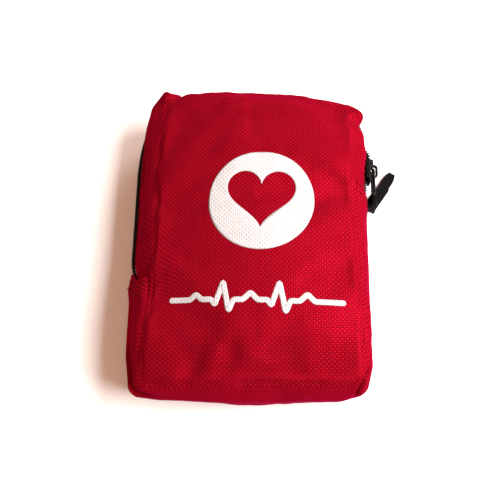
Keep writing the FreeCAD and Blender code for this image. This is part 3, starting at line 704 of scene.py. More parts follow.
def dent(points, centre, size, depth, angle):
    """A smooth hollow (or with a negative depth a swelling) in the front, as heights to take away."""
    turn = math.radians(angle)
    dx, dy = points[:, 0] - centre[0], points[:, 1] - centre[1]
    along = (dx * math.cos(turn) + dy * math.sin(turn)) / size[0]
    across = (-dx * math.sin(turn) + dy * math.cos(turn)) / size[1]
    return depth * np.exp(-(along**2 + across**2))


# hollows and soft ridges in the front panel: middle, half length and half width, depth, and angle from X
DENTS = (
    ((-5, -52), (11, 3.6), 1.3, 62), ((3, -56), (7, 3.0), -1.0, 58), ((-13, -55), (8, 3.4), -1.3, 66),
    ((-29, -63), (6, 2.8), -1.2, 50), ((-22, -60), (6, 2.6), 0.8, 50), ((0, -65), (5, 3), 1.4, 20),
    ((16, -52), (16, 5), 0.9, 25), ((22, -59), (18, 4), -0.5, 8), ((30, -40), (16, 6), -0.7, 42),
    ((4, -38), (18, 6), -0.7, 48), ((34, 30), (10, 17), -1.3, 62), ((40, 14), (5, 9), 1.0, 50),
    ((26, 6), (13, 3.5), 0.6, 48), ((-6, 57), (16, 5), 0.6, 12), ((-16, 40), (5, 18), 0.7, -22),
    ((22, 55), (14, 5), -0.5, -14),
)


def shape_folds(points, flat):
    """Moves the settled cloth to the real pouch's folds, ears and dents. flat is the unsettled shape.

    Each push is a distance along X, Y and Z times its shares. A share is 0 to 1 along one axis: a step (the
    values where it begins and ends) or a peak (its middle and width)."""
    out = points.copy()
    x, y, z = flat.T

    def on_x(low, high):
        return smoothstep(low, high, x)

    def on_y(low, high):
        return smoothstep(low, high, y)

    def on_z(low, high):
        return smoothstep(low, high, z)

    above = on_z(ZIP_HIGH, ZIP_HIGH + 6)  # 1 on the front panel and its seam, 0 from the zip down
    beside = on_z(23.5, 27.5) * on_z(38, 31) * on_y(-24, -18)  # the front gusset next to the zip
    under = on_z(31, 26) * on_z(12, 20)  # the zip and what is just above and below it
    slider_side = on_x(40, 46) * on_z(12, 20) * on_z(38, 33)
    zip_line = on_z(18, 21) * on_z(28, 25)
    top_edge = on_z(34, 40)
    low_wall = on_y(-60, -70) * on_z(40, 34) * on_z(1, 6)
    low_right = on_y(-56, -70) * on_x(38, 50) * on_z(3, 10)
    low_left = on_y(-50, -70) * on_x(-38, -50) * on_z(3, 10)
    slip = -1.4 + 2.4 * on_x(-25, 25) + 7.0 * on_x(15, 52) ** 1.3
    pushes = [
        # the top end slants: its right half has slipped back, and the zip with it
        ((0, -1, 0), slip, on_y(20, 67), on_z(2, 20)),
        ((2.0, 0, 0), above, on_y(15, 60), on_x(20, 46)),
        # the left side draws in towards the top end
        ((4.4, 0, 0), on_y(30, 74), on_x(10, -40), on_z(0, 8)),
        # beside the zip the front gusset draws in, so that the coil shows
        ((1.7, 0, 0), beside, on_y(56, 38), on_x(-40, -46)),
        ((-0.5, 0, 0), beside, on_y(14, 22), on_x(40, 46)),
        # under the front's top corners the zip draws in
        ((1.8, 0, 0), under, on_y(40, 66), on_x(-30, -44)),
        ((0, -1.6, 0), under, on_y(58, 68)),
        ((-1.6, 0, 0), under, peak(55, 6, y), on_x(40, 46)),
        # over the slider the gussets stand out a little, and the zip lifts where it enters the slider
        ((1.2, 0, 0), slider_side, peak(43, 5.0, y)),
        ((1.3, 0, 0), slider_side, zip_line, peak(45.5, 4.2, y)),
        # the front seam leans out to both sides at the bottom, and the left gusset leans down at the hem
        ((-3.0, 0, 0), top_edge, on_y(-20, -64), on_x(-24, -42)),
        ((1.5, 0, 0), top_edge, on_y(5, -55), on_x(24, 42)),
        ((-2.4, 0, 0), above, on_y(15, 62), on_x(-14, -44)),
        ((1.6, 0, 0), 1 - above, on_y(44, 66), on_x(-30, -46)),
        ((0, -7.5, 0), on_z(26, 40), peak(-18.5, 16, y), on_x(-26, -42)),
        # notches beside the two top corners, and the ears on them
        ((-3.2, 0, 0), peak(58.6, 2.6, y), on_x(39, 48), on_z(24, 29)),
        ((0, -2.2, 0), peak(-37, 2.6, x), on_y(58, 66), on_z(18, 26)),
        ((-0.6, 3.0, 1.8), above, peak(-41.5, 3.2, x), peak(66.5, 3.2, y)),
        ((1.6, 0.8, 0.6), above, peak(46.5, 3.6, x), peak(63, 3.6, y)),
        # the bottom gusset bellies out at the middle, and its corners pinch
        ((0, -1.4, 0), low_wall, peak(0, 26, x)),
        ((-2.0, 2.0, 0), low_right),
        ((2.0, 0.8, 0), low_left),
        # the front has its dents, and falls away towards its left side and its bottom end
        ((0, 0, -1), sum(dent(flat, *one) for one in DENTS), on_z(30, 34), smoothstep(0.0, 1.0, above)),
        ((0, 0, -4.6), on_z(26, 36), on_x(-4, -62)),
        ((0, 0, -4.5), on_z(26, 36), on_y(-44, -69)),
    ]
    for push, *shares in pushes:
        out += np.prod(shares, axis=0)[:, None] * push
    return out


SEAM_DEPTH, SEAM_DEPTH_RIGHT = 0.15, 0.1  # how deep the stitching draws the front seam in
SOFT_SEAM = 0.42  # how far the cloth rolls over the seam on the left
SEAM_SHOULDER = 0.1  # how far the front stands up just inside the seam
SEAM_DRAW = 0.75, 0.9  # shares of the depth that the seam is drawn inward and down
PUCKER = 0.25  # how much the depth varies


def pull_seam(shell):
    """The stitching draws the front seam into a groove, puckered a little between its stitches."""
    middle = shell.flat[shell.front].mean(axis=(0, 1))
    for station in range(AROUND):
        rim = shell.wall(ROWS, station)
        outward = unit((shell.flat[rim] - middle) * (1, 1, 0))
        y = shell.flat[rim, 1]
        depth = SEAM_DEPTH_RIGHT if shell.flat[rim, 0] > 40 else SEAM_DEPTH
        depth *= smoothstep(-62, -40, y)
        pucker = 1 - PUCKER + PUCKER * math.sin(station * 2.1) * math.cos(station * 0.77)
        shell.points[rim] -= depth * pucker * (SEAM_DRAW[0] * outward + (0, 0, SEAM_DRAW[1]))
        beside = shell.wall(ROWS - 1, station)
        shell.points[beside] += depth * 0.2 * outward
        soft = SOFT_SEAM * smoothstep(-36, -44, shell.flat[rim, 0]) * smoothstep(-20, 0, y)
        shell.points[rim, 2] += soft
        shell.points[beside, 2] -= soft
    inner = shell.front[1:-1, 1:-1]
    edge = np.concatenate([inner[0], inner[-1], inner[:, 0], inner[:, -1]])
    shell.points[np.unique(edge), 2] += SEAM_SHOULDER


def cut_piece(points, name, faces, uv):
    """A piece of the shell as an object of its own."""
    used = sorted({i for f in faces for i in f})
    new = {old: i for i, old in enumerate(used)}
    return make_mesh(name, points[used], [[new[i] for i in f] for f in faces], uv[used])


def refine(piece):
    """Splits each face of a piece in four, smoothly."""
    modifier(piece, "SUBSURF", levels=1, render_levels=1)
    fine = bpy.data.meshes.new_from_object(piece.evaluated_get(bpy.context.evaluated_depsgraph_get()))
    piece.modifiers.clear()
    piece.data = fine


TUCK_TOP, TUCK_END = np.array([50.0, -57.6]), np.array([45.0, -68.0])  # the line it is folded along
TUCK_DEPTH, TUCK_RIDGE = 3.8, 1.0
TUCK_INWARD = (-0.45, 0.35, -0.82)


def fold_tuck(piece):
    """Folds the sharp tuck into the bottom right corner: a ridge, and a deep valley on its outer side."""
    refine(piece)
    points = np.array([v.co for v in piece.data.vertices]) / MM
    line = TUCK_END - TUCK_TOP
    reach = np.linalg.norm(line)
    direction = line / reach
    offset = points[:, :2] - TUCK_TOP
    along = offset @ direction / reach
    outer = offset @ np.array([-direction[1], direction[0]])
    share = smoothstep(-0.1, 0.6, along) * smoothstep(24, 32, points[:, 2])
    valley = peak(0.7, 0.6 + 0.4 * smoothstep(0, 1, along), outer)
    ridge = peak(-1.1, 1.1, outer)
    points += (share * (TUCK_DEPTH * valley - TUCK_RIDGE * ridge))[:, None] * unit(TUCK_INWARD)
    piece.data.vertices.foreach_set("co", (points * MM).astype(np.float32).ravel())
    piece.data.update()


def thicken(piece, thickness=CLOTH, levels=1):
    """Rounds the cloth between its points and gives it thickness inward. Its cut edge is shaded sharp."""
    shape = bmesh.new()
    shape.from_mesh(piece.data)
    for edge in shape.edges:
        edge.smooth = not edge.is_boundary
    shape.to_mesh(piece.data)
    shape.free()
    if levels:
        modifier(piece, "SUBSURF", levels=levels, render_levels=levels)
    modifier(piece, "SOLIDIFY", thickness=thickness * MM, offset=-1.0, use_even_offset=True)
    return piece


def declare_sheet(piece):
    """Works out how large the cloth was cut: the smallest rectangle that holds it, and its own flat area.
    Nothing keeps the result.
    """
    mesh = piece.data
    places = np.array([loop.uv for loop in mesh.uv_layers["cloth"].data])
    used = places[places.sum(axis=1) > 0]
    width, length = (used.max(axis=0) - used.min(axis=0)) * SEWN_SLACK
    area = sum(face.area for face in mesh.polygons) / MM**2
    width, length = sorted((width, max(length, area / width)))


def lift_edge(shell, points, edge, reach, ease, height):
    """Moves the wall outward beside an edge, over a reach of steps from it. ease says from where to where
    in those steps the move dies out."""
    station, step = edge
    for k in range(*reach):
        for row in range(1, ROWS):
            index = shell.wall(row, station + step * k)
            points[index] += shell.normals[index] * height * (1.0 - smoothstep(*ease, k))


def build_shell(fabric):
    """The sewn panels and gussets."""
    shell = Shell()
    settle(shell)
    shell.points = shape_folds(shell.points, shell.flat)
    pull_seam(shell)
    shell.normals = wall_normals(shell)
    # the bottom gusset laps over the ends of the others by one station, and stands a hem's thickness out
    shell.lapped = shell.points.copy()
    lift_edge(shell, shell.lapped, (EDGE_LEFT, 1), (-1, LAP), (1, LAP), HEM_LEFT)
    lift_edge(shell, shell.lapped, (EDGE_RIGHT, -1), (-1, LAP), (1, LAP), HEM_RIGHT)
    panel_uv = shell.flat[:, :2] + PANEL_UV_START
    wall_uv = np.vstack([shell.uv, np.zeros((len(shell.points) - len(shell.uv), 2))])
    # its flat coordinates run on past the station where the others start
    bottom_uv = wall_uv.copy()
    past_start = [shell.wall(row, station) for row in range(ROWS + 1) for station in range(EDGE_RIGHT + 1)]
    bottom_uv[past_start, 0] += shell.girth
    over_top = (EDGE_RIGHT, EDGE_LEFT)
    front_faces = quads(shell.front, down=True)
    back_faces = flipped(quads(shell.back, down=True))
    under_faces = shell.wall_faces((0, ROWS), (EDGE_LEFT - 1, AROUND + EDGE_RIGHT))
    front = cut_piece(shell.points, "front_panel_cloth", front_faces, panel_uv)
    back = cut_piece(shell.points, "back_panel_cloth", back_faces, panel_uv)
    bottom_gusset = cut_piece(shell.lapped, "bottom_gusset_cloth", under_faces, bottom_uv)
    # the front and back gussets dive in under the hem
    lift_edge(shell, shell.points, (EDGE_LEFT, -1), (-2, 4), (0, 4), -DIVE_LEFT)
    lift_edge(shell, shell.points, (EDGE_RIGHT, 1), (-2, 4), (0, 4), -DIVE_RIGHT)
    high, low = shell.wall_faces((ROW_HIGH, ROWS), over_top), shell.wall_faces((0, ROW_LOW), over_top)
    front_gusset = cut_piece(shell.points, "front_gusset_cloth", high, wall_uv)
    back_gusset = cut_piece(shell.points, "back_gusset_cloth", low, wall_uv)
    for piece, tucked, body, nodes in (
        (front, True, "cover_blend", ("front_panel", "front_panel_lower")),
        (back, False, "root", ("back_panel",)),
        (bottom_gusset, True, "root", ("bottom_gusset",)),
        (front_gusset, False, "cover_blend", ("front_gusset", "front_gusset_held")),
        (back_gusset, False, "root", ("back_gusset",)),
    ):
        if tucked:
            fold_tuck(piece)
        declare_sheet(piece)
        thicken(piece, levels=0 if tucked else 1)
        finish_piece(piece, fabric, body, *nodes, slot="shell_fabric")
    return shell, front


def wall_normals(shell):
    """Outward directions at the wall's points."""
    walls = shell.points[:(ROWS + 1) * AROUND].reshape(ROWS + 1, AROUND, 3)
    around = np.roll(walls, -1, axis=1) - np.roll(walls, 1, axis=1)
    up = np.gradient(walls, axis=0)
    return unit(np.cross(around, up)).reshape(-1, 3)


def on_wall(shell, row, station, out=0.0, lapped=False):
    """A point on the wall at any row and station, moved outward by out."""
    low_row, low_station = min(int(row), ROWS - 1), int(math.floor(station))
    a, b = row - low_row, station - low_station
    source = shell.lapped if lapped else shell.points
    point = np.zeros(3)
    for i, share_i in ((0, 1 - a), (1, a)):
        for j, share_j in ((0, 1 - b), (1, b)):
            index = shell.wall(low_row + i, low_station + j)
            point += share_i * share_j * (source[index] + out * shell.normals[index])
    return point


def wall_direction(shell, row, station):
    """The outward direction on the wall at a row and station."""
    return shell.normals[shell.wall(min(int(round(row)), ROWS), int(round(station)))]


# ---- zip -----------------------------------------------------------------------------------------

TAPE_INSET, TAPE_THICKNESS = 1.0, 0.5
TAPE_GAP = 0.35  # between each tape and the zip's middle line, in rows
ROW_STEP = ZIP_HALF / 2  # height of a row beside the zip
COIL_PITCH = 1.25
COIL_RADIUS = 0.9  # of the spiral, to the middle of its filament
FILAMENT = 0.3
CORE_RADIUS = 0.5
COIL_GAP = 0.08  # between the spiral and the zip's middle line
COIL_HEIGHT, COIL_DIVE = 0.1, 2.4  # out of the wall, and how far its ends sink in under the hem
POINTS_PER_TURN = 12
ZIP_STATIONS = np.arange(EDGE_RIGHT - 3, EDGE_LEFT + 4)


def build_tape(shell, name, rows, material, body, *nodes):
    """One half of the zip's tape: a band just inside the gussets."""
    lines = np.linspace(*rows, 9)
    points = [on_wall(shell, row, station, -TAPE_INSET) for station in ZIP_STATIONS for row in lines]
    uv = [(n * 2.0, row * 2.3) for n in range(len(ZIP_STATIONS)) for row in lines]
    faces = quads(grid(len(ZIP_STATIONS), len(lines)), down=True)
    piece = thicken(make_mesh(name, points, faces, uv), TAPE_THICKNESS)
    return finish_piece(piece, material, body, *nodes, slot="zip_tape")


def build_coil(shell, name, side, material, body, *nodes):
    """One half of the coil: a filament wound into a spiral round a core, meshing with the other half."""
    row = ROW_MID + side * (COIL_RADIUS + COIL_GAP) / ROW_STEP
    beyond = [max(EDGE_RIGHT - s, s - EDGE_LEFT) for s in ZIP_STATIONS]
    heights = COIL_HEIGHT - COIL_DIVE * smoothstep(-1.5, 1.5, beyond)
    line = [on_wall(shell, row, s, height) for s, height in zip(ZIP_STATIONS, heights)]
    centre = resample(line, COIL_PITCH / POINTS_PER_TURN)
    outward = spread([wall_direction(shell, row, s) for s in ZIP_STATIONS], len(centre))
    across = unit(np.cross(tangents(centre), outward))
    start = math.pi if side > 0 else 0.0
    phase = np.arange(len(centre)) * 2 * math.pi / POINTS_PER_TURN + start
    spiral = (centre + outward * (COIL_RADIUS * np.cos(phase))[:, None]
              + across * (COIL_RADIUS * 1.05 * np.sin(phase))[:, None])
    filament = sweep(spiral, circle_profile(FILAMENT), outward)
    core = sweep(centre[::6], circle_profile(CORE_RADIUS), outward[::6])
    piece = make_mesh(name, *join_parts([filament, core]))
    return finish_piece(piece, material, body, *nodes, slot="zip_coil")


def build_zip(shell, tape, coil):
    """Both halves of the zip."""
    low = (ROW_LOW - 1, ROW_MID - TAPE_GAP)
    high = (ROW_MID + TAPE_GAP, ROW_HIGH + 1)
    build_tape(shell, "back_tape_strip", low, tape, "root", "back_zip_tape")
    build_tape(shell, "front_tape_strip", high, tape, "cover_blend", "front_zip_tape", "front_zip_tape_held")
    build_coil(shell, "back_coil_spiral", -1, coil, "root", "back_zip_coil")
    build_coil(shell, "front_coil_spiral", 1, coil, "cover_blend", "front_zip_coil", "front_zip_coil_held")


# ---- slider and its pull -----------------------------------------------------------------------


def domed_plate(outline, layers, x_start, direction=1.0):
    """A plate in the YZ plane: its outline at each layer's size and height, closed at both ends."""
    centre = outline.mean(axis=0)
    points = []
    for size, height in layers:
        flat = centre + (outline - centre) * size
        points += [(x_start + direction * height, y, z) for y, z in flat]
    return np.array(points), tube_faces(len(layers), len(outline))


PLATE = 1.3  # thickness of the slider's plates
PLATE_LAYERS = ((0.96, 0.0), (1.0, 0.2), (1.0, 0.8), (0.95, 1.15), (0.8, PLATE))
NOSE_LAYERS = ((1.0, 0.0), (1.0, 1.1), (0.93, 1.5), (0.75, 1.7))
# outlines, as shares of the slider's half length and half width
PLATE_SIDE = ((-1.0, 0.55), (-0.82, 0.9), (-0.4, 1.0), (0.25, 0.82), (0.75, 0.72), (1.0, 0.5))
NOSE_SHAPE = ((0.3, 0.45), (0.9, 0.4), (0.97, 0.0), (0.9, -0.4), (0.3, -0.45), (0.25, 0.0))
FLANGE_SHAPE = ((-0.75, 0.84), (-0.4, 0.9), (0.25, 0.74), (0.8, 0.62))
LIP_SHAPE = ((-0.7, 0.1), (-0.35, 0.0), (0.1, 0.5), (0.6, 1.1))  # here the second one is a height


def build_slider(metal):
    """The slider: two plates with a post between them, a nose, a lip, and the bail over the outer plate."""
    middle_y = (SLIDER_LO[1] + SLIDER_HI[1]) / 2
    half_y = (SLIDER_HI[1] - SLIDER_LO[1]) / 2
    half_z = (SLIDER_HI[2] - SLIDER_LO[2]) / 2

    def placed(shares):
        return [(middle_y + a * half_y, ZIP_Z + b * half_z) for a, b in shares]

    outline = smooth_loop(placed([*PLATE_SIDE, *((a, -b) for a, b in PLATE_SIDE[::-1])]), 5)
    inner_face, outer_face = SLIDER_LO[0] + PLATE, COIL_OUT + 0.4
    outer = domed_plate(outline, PLATE_LAYERS, outer_face)
    inner = domed_plate(outline, PLATE_LAYERS, inner_face, -1.0)
    nose = domed_plate(smooth_loop(placed(NOSE_SHAPE), 5), NOSE_LAYERS, outer_face + 1.1)
    post_y = middle_y - half_y + 1.8
    post_line = [(inner_face - 0.4, post_y, ZIP_Z), (outer_face + 0.4, post_y, ZIP_Z)]
    post = sweep(post_line, slab_profile(0.5, -1.3, 1.3), (0, 1, 0))
    lip_line = [(outer_face - 0.2, middle_y + a * half_y, SLIDER_LO[2] + 0.35 + b) for a, b in LIP_SHAPE]
    lip = sweep(smooth_line(lip_line, 5), slab_profile(0.3, -1.1, 0.5), (1, 0, 0))
    flanges = []
    for edge in (-1, 1):
        line = [(outer_face - 0.15, y, z) for y, z in placed((a, edge * b) for a, b in FLANGE_SHAPE)]
        flanges.append(sweep(line, slab_profile(0.35, -0.75, 0.75), (1, 0, 0)))
    top = outer_face + PLATE
    rise = SLIDER_HI[0] - top
    leg = [(-0.3, -3.0), (0.35 * rise, -3.0), (0.84 * rise, -2.1)]
    arch = leg + [(0.87 * rise, 0.0)] + [(height, -along) for height, along in reversed(leg)]
    arch_line = smooth_line([(top + height, middle_y + along, ZIP_Z) for height, along in arch], 6)
    strap = [(-0.8, -0.4), (-0.65, -0.52), (0.65, -0.52), (0.8, -0.4)]
    strap += [(-across, -up) for across, up in strap]
    bail = sweep(arch_line, strap, np.cross(tangents(arch_line), (0, 0, 1)))
    piece = make_mesh("slider_body", *join_parts([outer, inner, post, lip, bail, nose] + flanges))
    modifier(piece, "BEVEL", width=0.12 * MM, segments=2, limit_method="ANGLE", angle_limit=math.radians(50))
    return finish_piece(piece, metal, "slider", "zip_slider", slot="black_metal")


# the pull's middle line, from the ring's end bar down to the surface and along it
RIBBON_ROUTE = [(56.55, 21.9, 23.0), (56.5, 19.3, 19.6), (55.9, 18.2, 13.6), (55.8, 19.2, 7.6),
                (57.3, 23.0, 2.9), (60.9, 28.6, 0.9), (65.2, 35.0, 0.7), (69.4, 41.6, 0.7)]
RIBBON_WIDTH = 5.5
RIBBON_LAYER = 0.5
RIBBON_APART = 0.32  # from the middle line to each layer
RIBBON_CUP, RIBBON_RIB = 0.15, 0.05  # how far its edges curl out, and the height of its ribs
RIBBON_TAPER, TAPER_ROWS = 0.45, 5  # how much narrower it gets at its end, and over how many points


def spline_points(route):
    """The smooth line of a route, as its NURBS spline gives it."""
    curve = bpy.data.curves.new("route", "CURVE")
    curve.dimensions = "3D"
    curve.resolution_u = 12
    spline = curve.splines.new("NURBS")
    spline.points.add(len(route) - 1)
    for point, place in zip(spline.points, route):
        point.co = (*(v * MM for v in place), 1.0)
    spline.order_u = 3
    spline.use_endpoint_u = True
    holder = bpy.data.objects.new("route", curve)
    mesh = bpy.data.meshes.new_from_object(holder)
    points = np.array([v.co for v in mesh.vertices]) / MM
    bpy.data.objects.remove(holder)
    bpy.data.meshes.remove(mesh)
    return points


def build_ribbon(material):
    """The pull: a ribbon folded through the ring, both layers going down to the surface and along it."""
    path = spline_points(RIBBON_ROUTE)
    share = np.linspace(0, 1, len(path))
    along = tangents(path)
    level_side = unit(np.cross(along, (0.0, 0.0, 1.0)) + (0.25, -0.2, 0.0))
    twist = smoothstep(0.0, 0.3, share)[:, None]
    side = unit((1 - twist) * (0.0, 0.0, -1.0) + twist * level_side)
    side = unit(side - along * np.sum(side * along, axis=1, keepdims=True))
    up = unit(np.cross(side, along))
    half = RIBBON_WIDTH / 2
    columns = np.linspace(-1, 1, 13)
    parts, uv = [], []
    for layer, stop, slip in ((1, 1.0, 0.0), (-1, 0.93, 0.5)):
        rows = int(len(path) * stop)
        points = []
        for i in range(rows):
            taper = 1.0 - RIBBON_TAPER * smoothstep(rows - TAPER_ROWS, rows, i)
            for c in columns:
                ridge, cup = RIBBON_RIB * math.cos(c * 6 * math.pi), RIBBON_CUP * c * c
                points.append(path[i] + side[i] * (c * half * taper + slip * (i / rows))
                              + up[i] * (layer * (RIBBON_APART + cup) + ridge))
                uv.append((c * half + 10 * layer, share[i] * 44))
        parts.append((points, quads(grid(rows, len(columns)))))
    piece = make_mesh("ribbon_pull", *join_parts(parts), uv)
    modifier(piece, "SOLIDIFY", thickness=RIBBON_LAYER * MM, offset=0.0)
    modifier(piece, "SUBSURF", levels=1, render_levels=1)
    finish_piece(piece, material, "puller", "pull_ribbon", slot="pull_ribbon")
    return piece


# ---- print ----------------------------------------------------------------------------------------

PRINT_CENTRE = np.array([5.9, 10.7])
DISC_RADIUS = 22.6
HEART_HALF_WIDTH = 14.6
PRINT_TILT = math.radians(-1.4)
PULSE_START = np.array([-32.0, -32.4])
PULSE_WIDTH = 2.3
INK_HEIGHT, INK_THICKNESS = 0.10, 0.12


def surface_of(piece):
    """A piece's finished surface, for laying other things on it."""
    return BVHTree.FromObject(piece, bpy.context.evaluated_depsgraph_get())


def drape(surface, flat, height):
    """Points laid on a surface from above, a little over it."""
    out = []
    for x, y in flat:
        hit, normal, _, _ = surface.ray_cast(Vector((x, y, 90)) * MM, Vector((0, 0, -1)))
        out.append(np.array(hit) / MM + np.array(normal) * height)
    return np.array(out)


def heart_outline(count):
    """Points round a heart of unit half width, from its dip, about its middle."""
    t = np.linspace(0, 2 * math.pi, count, endpoint=False)
    x = -16 * np.sin(t) ** 3
    y = 13 * np.cos(t) - 5 * np.cos(2 * t) - 2 * np.cos(3 * t) - np.cos(4 * t) + 2.5
    return np.stack([x, y], axis=1) / 16


def print_piece(name, surface, flat, faces, material):
    """A thin layer of ink laid on the front panel."""
    piece = make_mesh(name, drape(surface, flat, INK_HEIGHT), faces, np.asarray(flat) + PANEL_UV_START)
    modifier(piece, "SOLIDIFY", thickness=INK_THICKNESS * MM, offset=0.0)
    return finish_piece(piece, material, "cover_blend")


def build_disc(surface, material):
    """A white disc with a heart left out of it."""
    spokes, rings = 240, 14
    flat = []
    for x, y in heart_outline(spokes) * HEART_HALF_WIDTH:
        inner = math.hypot(x, y)
        turned = math.atan2(y, x) + PRINT_TILT
        outward = np.array([math.cos(turned), math.sin(turned)])
        flat += [PRINT_CENTRE + outward * radius for radius in np.linspace(inner, DISC_RADIUS, rings + 1)]
    return print_piece("printed_disc", surface, flat, quads(closed_grid(spokes, rings + 1)), material)


# the heartbeat line's corners, from its start
PULSE = [(0, 0), (9, 0), (11.5, 2.2), (14, 0), (18, 0), (19.6, -2.2), (22.6, 7.4), (25.4, -4.6), (27.2, 0),
         (31, 0), (34, 3.0), (37, 0), (41, 0), (42.6, -2.2), (45.6, 7.4), (48.4, -4.6), (50.2, 0), (54, 0),
         (57, 3.0), (60, 0), (72.5, 0)]


def build_pulse(surface, material):
    """A heartbeat line under the disc, in place of words."""
    turn = np.array(Matrix.Rotation(PRINT_TILT, 2))
    corners = np.array(PULSE, float)
    line = []
    for a, b in zip(corners, corners[1:]):
        steps = max(2, int(np.linalg.norm(b - a) / 0.5))
        line += [a + (b - a) * t / steps for t in range(steps)]
    line = np.array(line + [corners[-1]])
    for _ in range(2):
        line[1:-1] = (line[:-2] + 2 * line[1:-1] + line[2:]) / 4
    along = tangents(line)
    side = np.stack([-along[:, 1], along[:, 0]], axis=1)
    from_end = np.minimum(np.arange(len(line)), np.arange(len(line))[::-1])
    ends = np.minimum(1.0, 0.35 + from_end / 2.0)
    lanes = np.linspace(-0.5, 0.5, 5) * PULSE_WIDTH
    flat = [PULSE_START + turn @ (p + n * lane * e) for p, n, e in zip(line, side, ends) for lane in lanes]
    faces = flipped(quads(grid(len(line), len(lanes)), down=True))
    return print_piece("printed_pulse_line", surface, flat, faces, material)


# ---- sewing ---------------------------------------------------------------------------------------


STITCH_LONG, STITCH_GAP, STITCH_RADIUS = 2.4, 0.9, 0.2
STITCH_SHAPE = ((0.0, -0.35), (0.12, 0.04), (0.35, 0.16), (0.65, 0.16), (0.88, 0.04), (1.0, -0.35))
FINE_STEP = 0.1


def stitch_row(path, outs):
    """Separate stitches along a line on the cloth: each dips into it at both ends."""
    fine = resample(path, FINE_STEP)
    outward = spread(outs, len(fine))
    step, reach = int(round((STITCH_LONG + STITCH_GAP) / FINE_STEP)), int(round(STITCH_LONG / FINE_STEP))
    parts = []
    for first in range(0, len(fine) - reach - 1, step):
        places = [(first + int(reach * t), rise) for t, rise in STITCH_SHAPE]
        line = [fine[i] + outward[i] * rise for i, rise in places]
        parts.append(sweep(line, circle_profile(STITCH_RADIUS), outward[places[2][0]]))
    return parts


def stitches_on(shell, places, lapped=False):
    """A row of stitches over some rows and stations of the wall."""
    line = [on_wall(shell, row, station, 0.03, lapped) for row, station in places]
    return stitch_row(line, [wall_direction(shell, row, station) for row, station in places])


def build_stitches(shell, thread):
    """Topstitching beside the zip and along the bottom gusset's hem."""
    for name, row, body in (("front_zip_topstitch", ROW_HIGH + 0.75, "cover_blend"),
                            ("back_zip_topstitch", ROW_LOW - 0.7, "root")):
        parts = stitches_on(shell, [(row, station) for station in range(EDGE_RIGHT + 1, EDGE_LEFT)])
        finish_piece(make_mesh(name, *join_parts(parts)), thread, body, slot="shell_fabric")
    parts = []
    for edge, step in ((EDGE_LEFT, 1), (EDGE_RIGHT, -1)):
        for inside in (0.4, 2.0):
            places = [(row, edge + step * inside) for row in np.arange(1, ROWS + 0.01, 0.5)]
            parts += stitches_on(shell, places, lapped=True)
    finish_piece(make_mesh("hem_topstitch", *join_parts(parts)), thread, "root", slot="shell_fabric")


def build_bindings(shell, material):
    """Binding tape folded over the raw edges of the front and back seams, inside the pouch."""
    profile = [(-0.6, -1.7), (0.6, -1.7), (0.7, 0), (0.6, 1.7), (-0.6, 1.7), (-0.7, 0)]
    front_nodes = ("front_seam_binding", "front_seam_binding_held")
    for name, row, inset, lift, body, nodes in (
        ("front_seam_tape", ROWS, 2.1, -2.6, "cover_blend", front_nodes),
        ("back_seam_tape", 0, 1.8, 3.4, "root", ("back_seam_binding",)),
    ):
        ring = shell.points[[shell.wall(row, s) for s in range(AROUND)]]
        outward = unit((ring - ring.mean(axis=0)) * (1, 1, 0))
        path = ring - outward * inset + (0, 0, lift)
        piece = make_mesh(name, *sweep(path, profile, (0, 0, 1), closed=True))
        finish_piece(piece, material, body, *nodes, slot="seam_binding")


LOOP_THICK = 1.0
LOOP_SEWN = 12.0  # length of each sewn end


def build_belt_loop(webbing, thread):
    """The webbing loop on the back, with a box of stitches at each sewn end."""
    half, wide = (LOOP_HI[1] - LOOP_LO[1]) / 2, (LOOP_HI[0] - LOOP_LO[0]) / 2
    under = BACK_Z - 0.02
    sewn_z, free_z = under - LOOP_THICK / 2, LOOP_THICK / 2 + 0.02
    end_line = [(half, sewn_z), (half - LOOP_SEWN + 1, sewn_z), (half - LOOP_SEWN - 4, free_z)]
    corners = [(0, -y, z) for y, z in end_line] + [(0, 0, free_z)] + [(0, y, z) for y, z in end_line[::-1]]
    line = smooth_line(corners, 10)
    columns = np.linspace(-wide, wide, 15)
    points = [(c, y, z + LOOP_THICK / 2) for _, y, z in line for c in columns]
    uv = [(c, length) for length in step_lengths(line) for c in columns]
    piece = make_mesh("belt_loop_webbing", points, quads(grid(len(line), len(columns))), uv)
    modifier(piece, "SOLIDIFY", thickness=LOOP_THICK * MM, offset=-1.0)
    finish_piece(piece, webbing, "root", "belt_loop", slot="webbing")
    parts, z = [], under - LOOP_THICK - 0.02
    for end in (-1, 1):
        low, high = sorted((end * (half - 1.5), end * (half - LOOP_SEWN + 2)))
        left, right = -wide + 2, wide - 2
        box = [(left, low), (right, low), (right, high), (left, high), (left, low)]
        cross = [(right, high), (right, low), (left, high)]
        for a, b in zip(box + cross, box[1:] + cross):
            run = np.column_stack([np.linspace(a, b, 20), np.full(20, z)])
            parts += stitch_row(run, [(0, 0, -1)] * len(run))
    finish_piece(make_mesh("belt_loop_stitches", *join_parts(parts)), thread, "root", slot="webbing")


# ---- contents -------------------------------------------------------------------------------------

FILM = 0.12  # half thickness of a packet where it is flat
PACKET_GAP = 0.02  # above and below each packet of a stack
CRIMP_PITCH, CRIMP_HEIGHT = 1.3, 0.12
PACKET_WAVES = 6  # that make its surface uneven


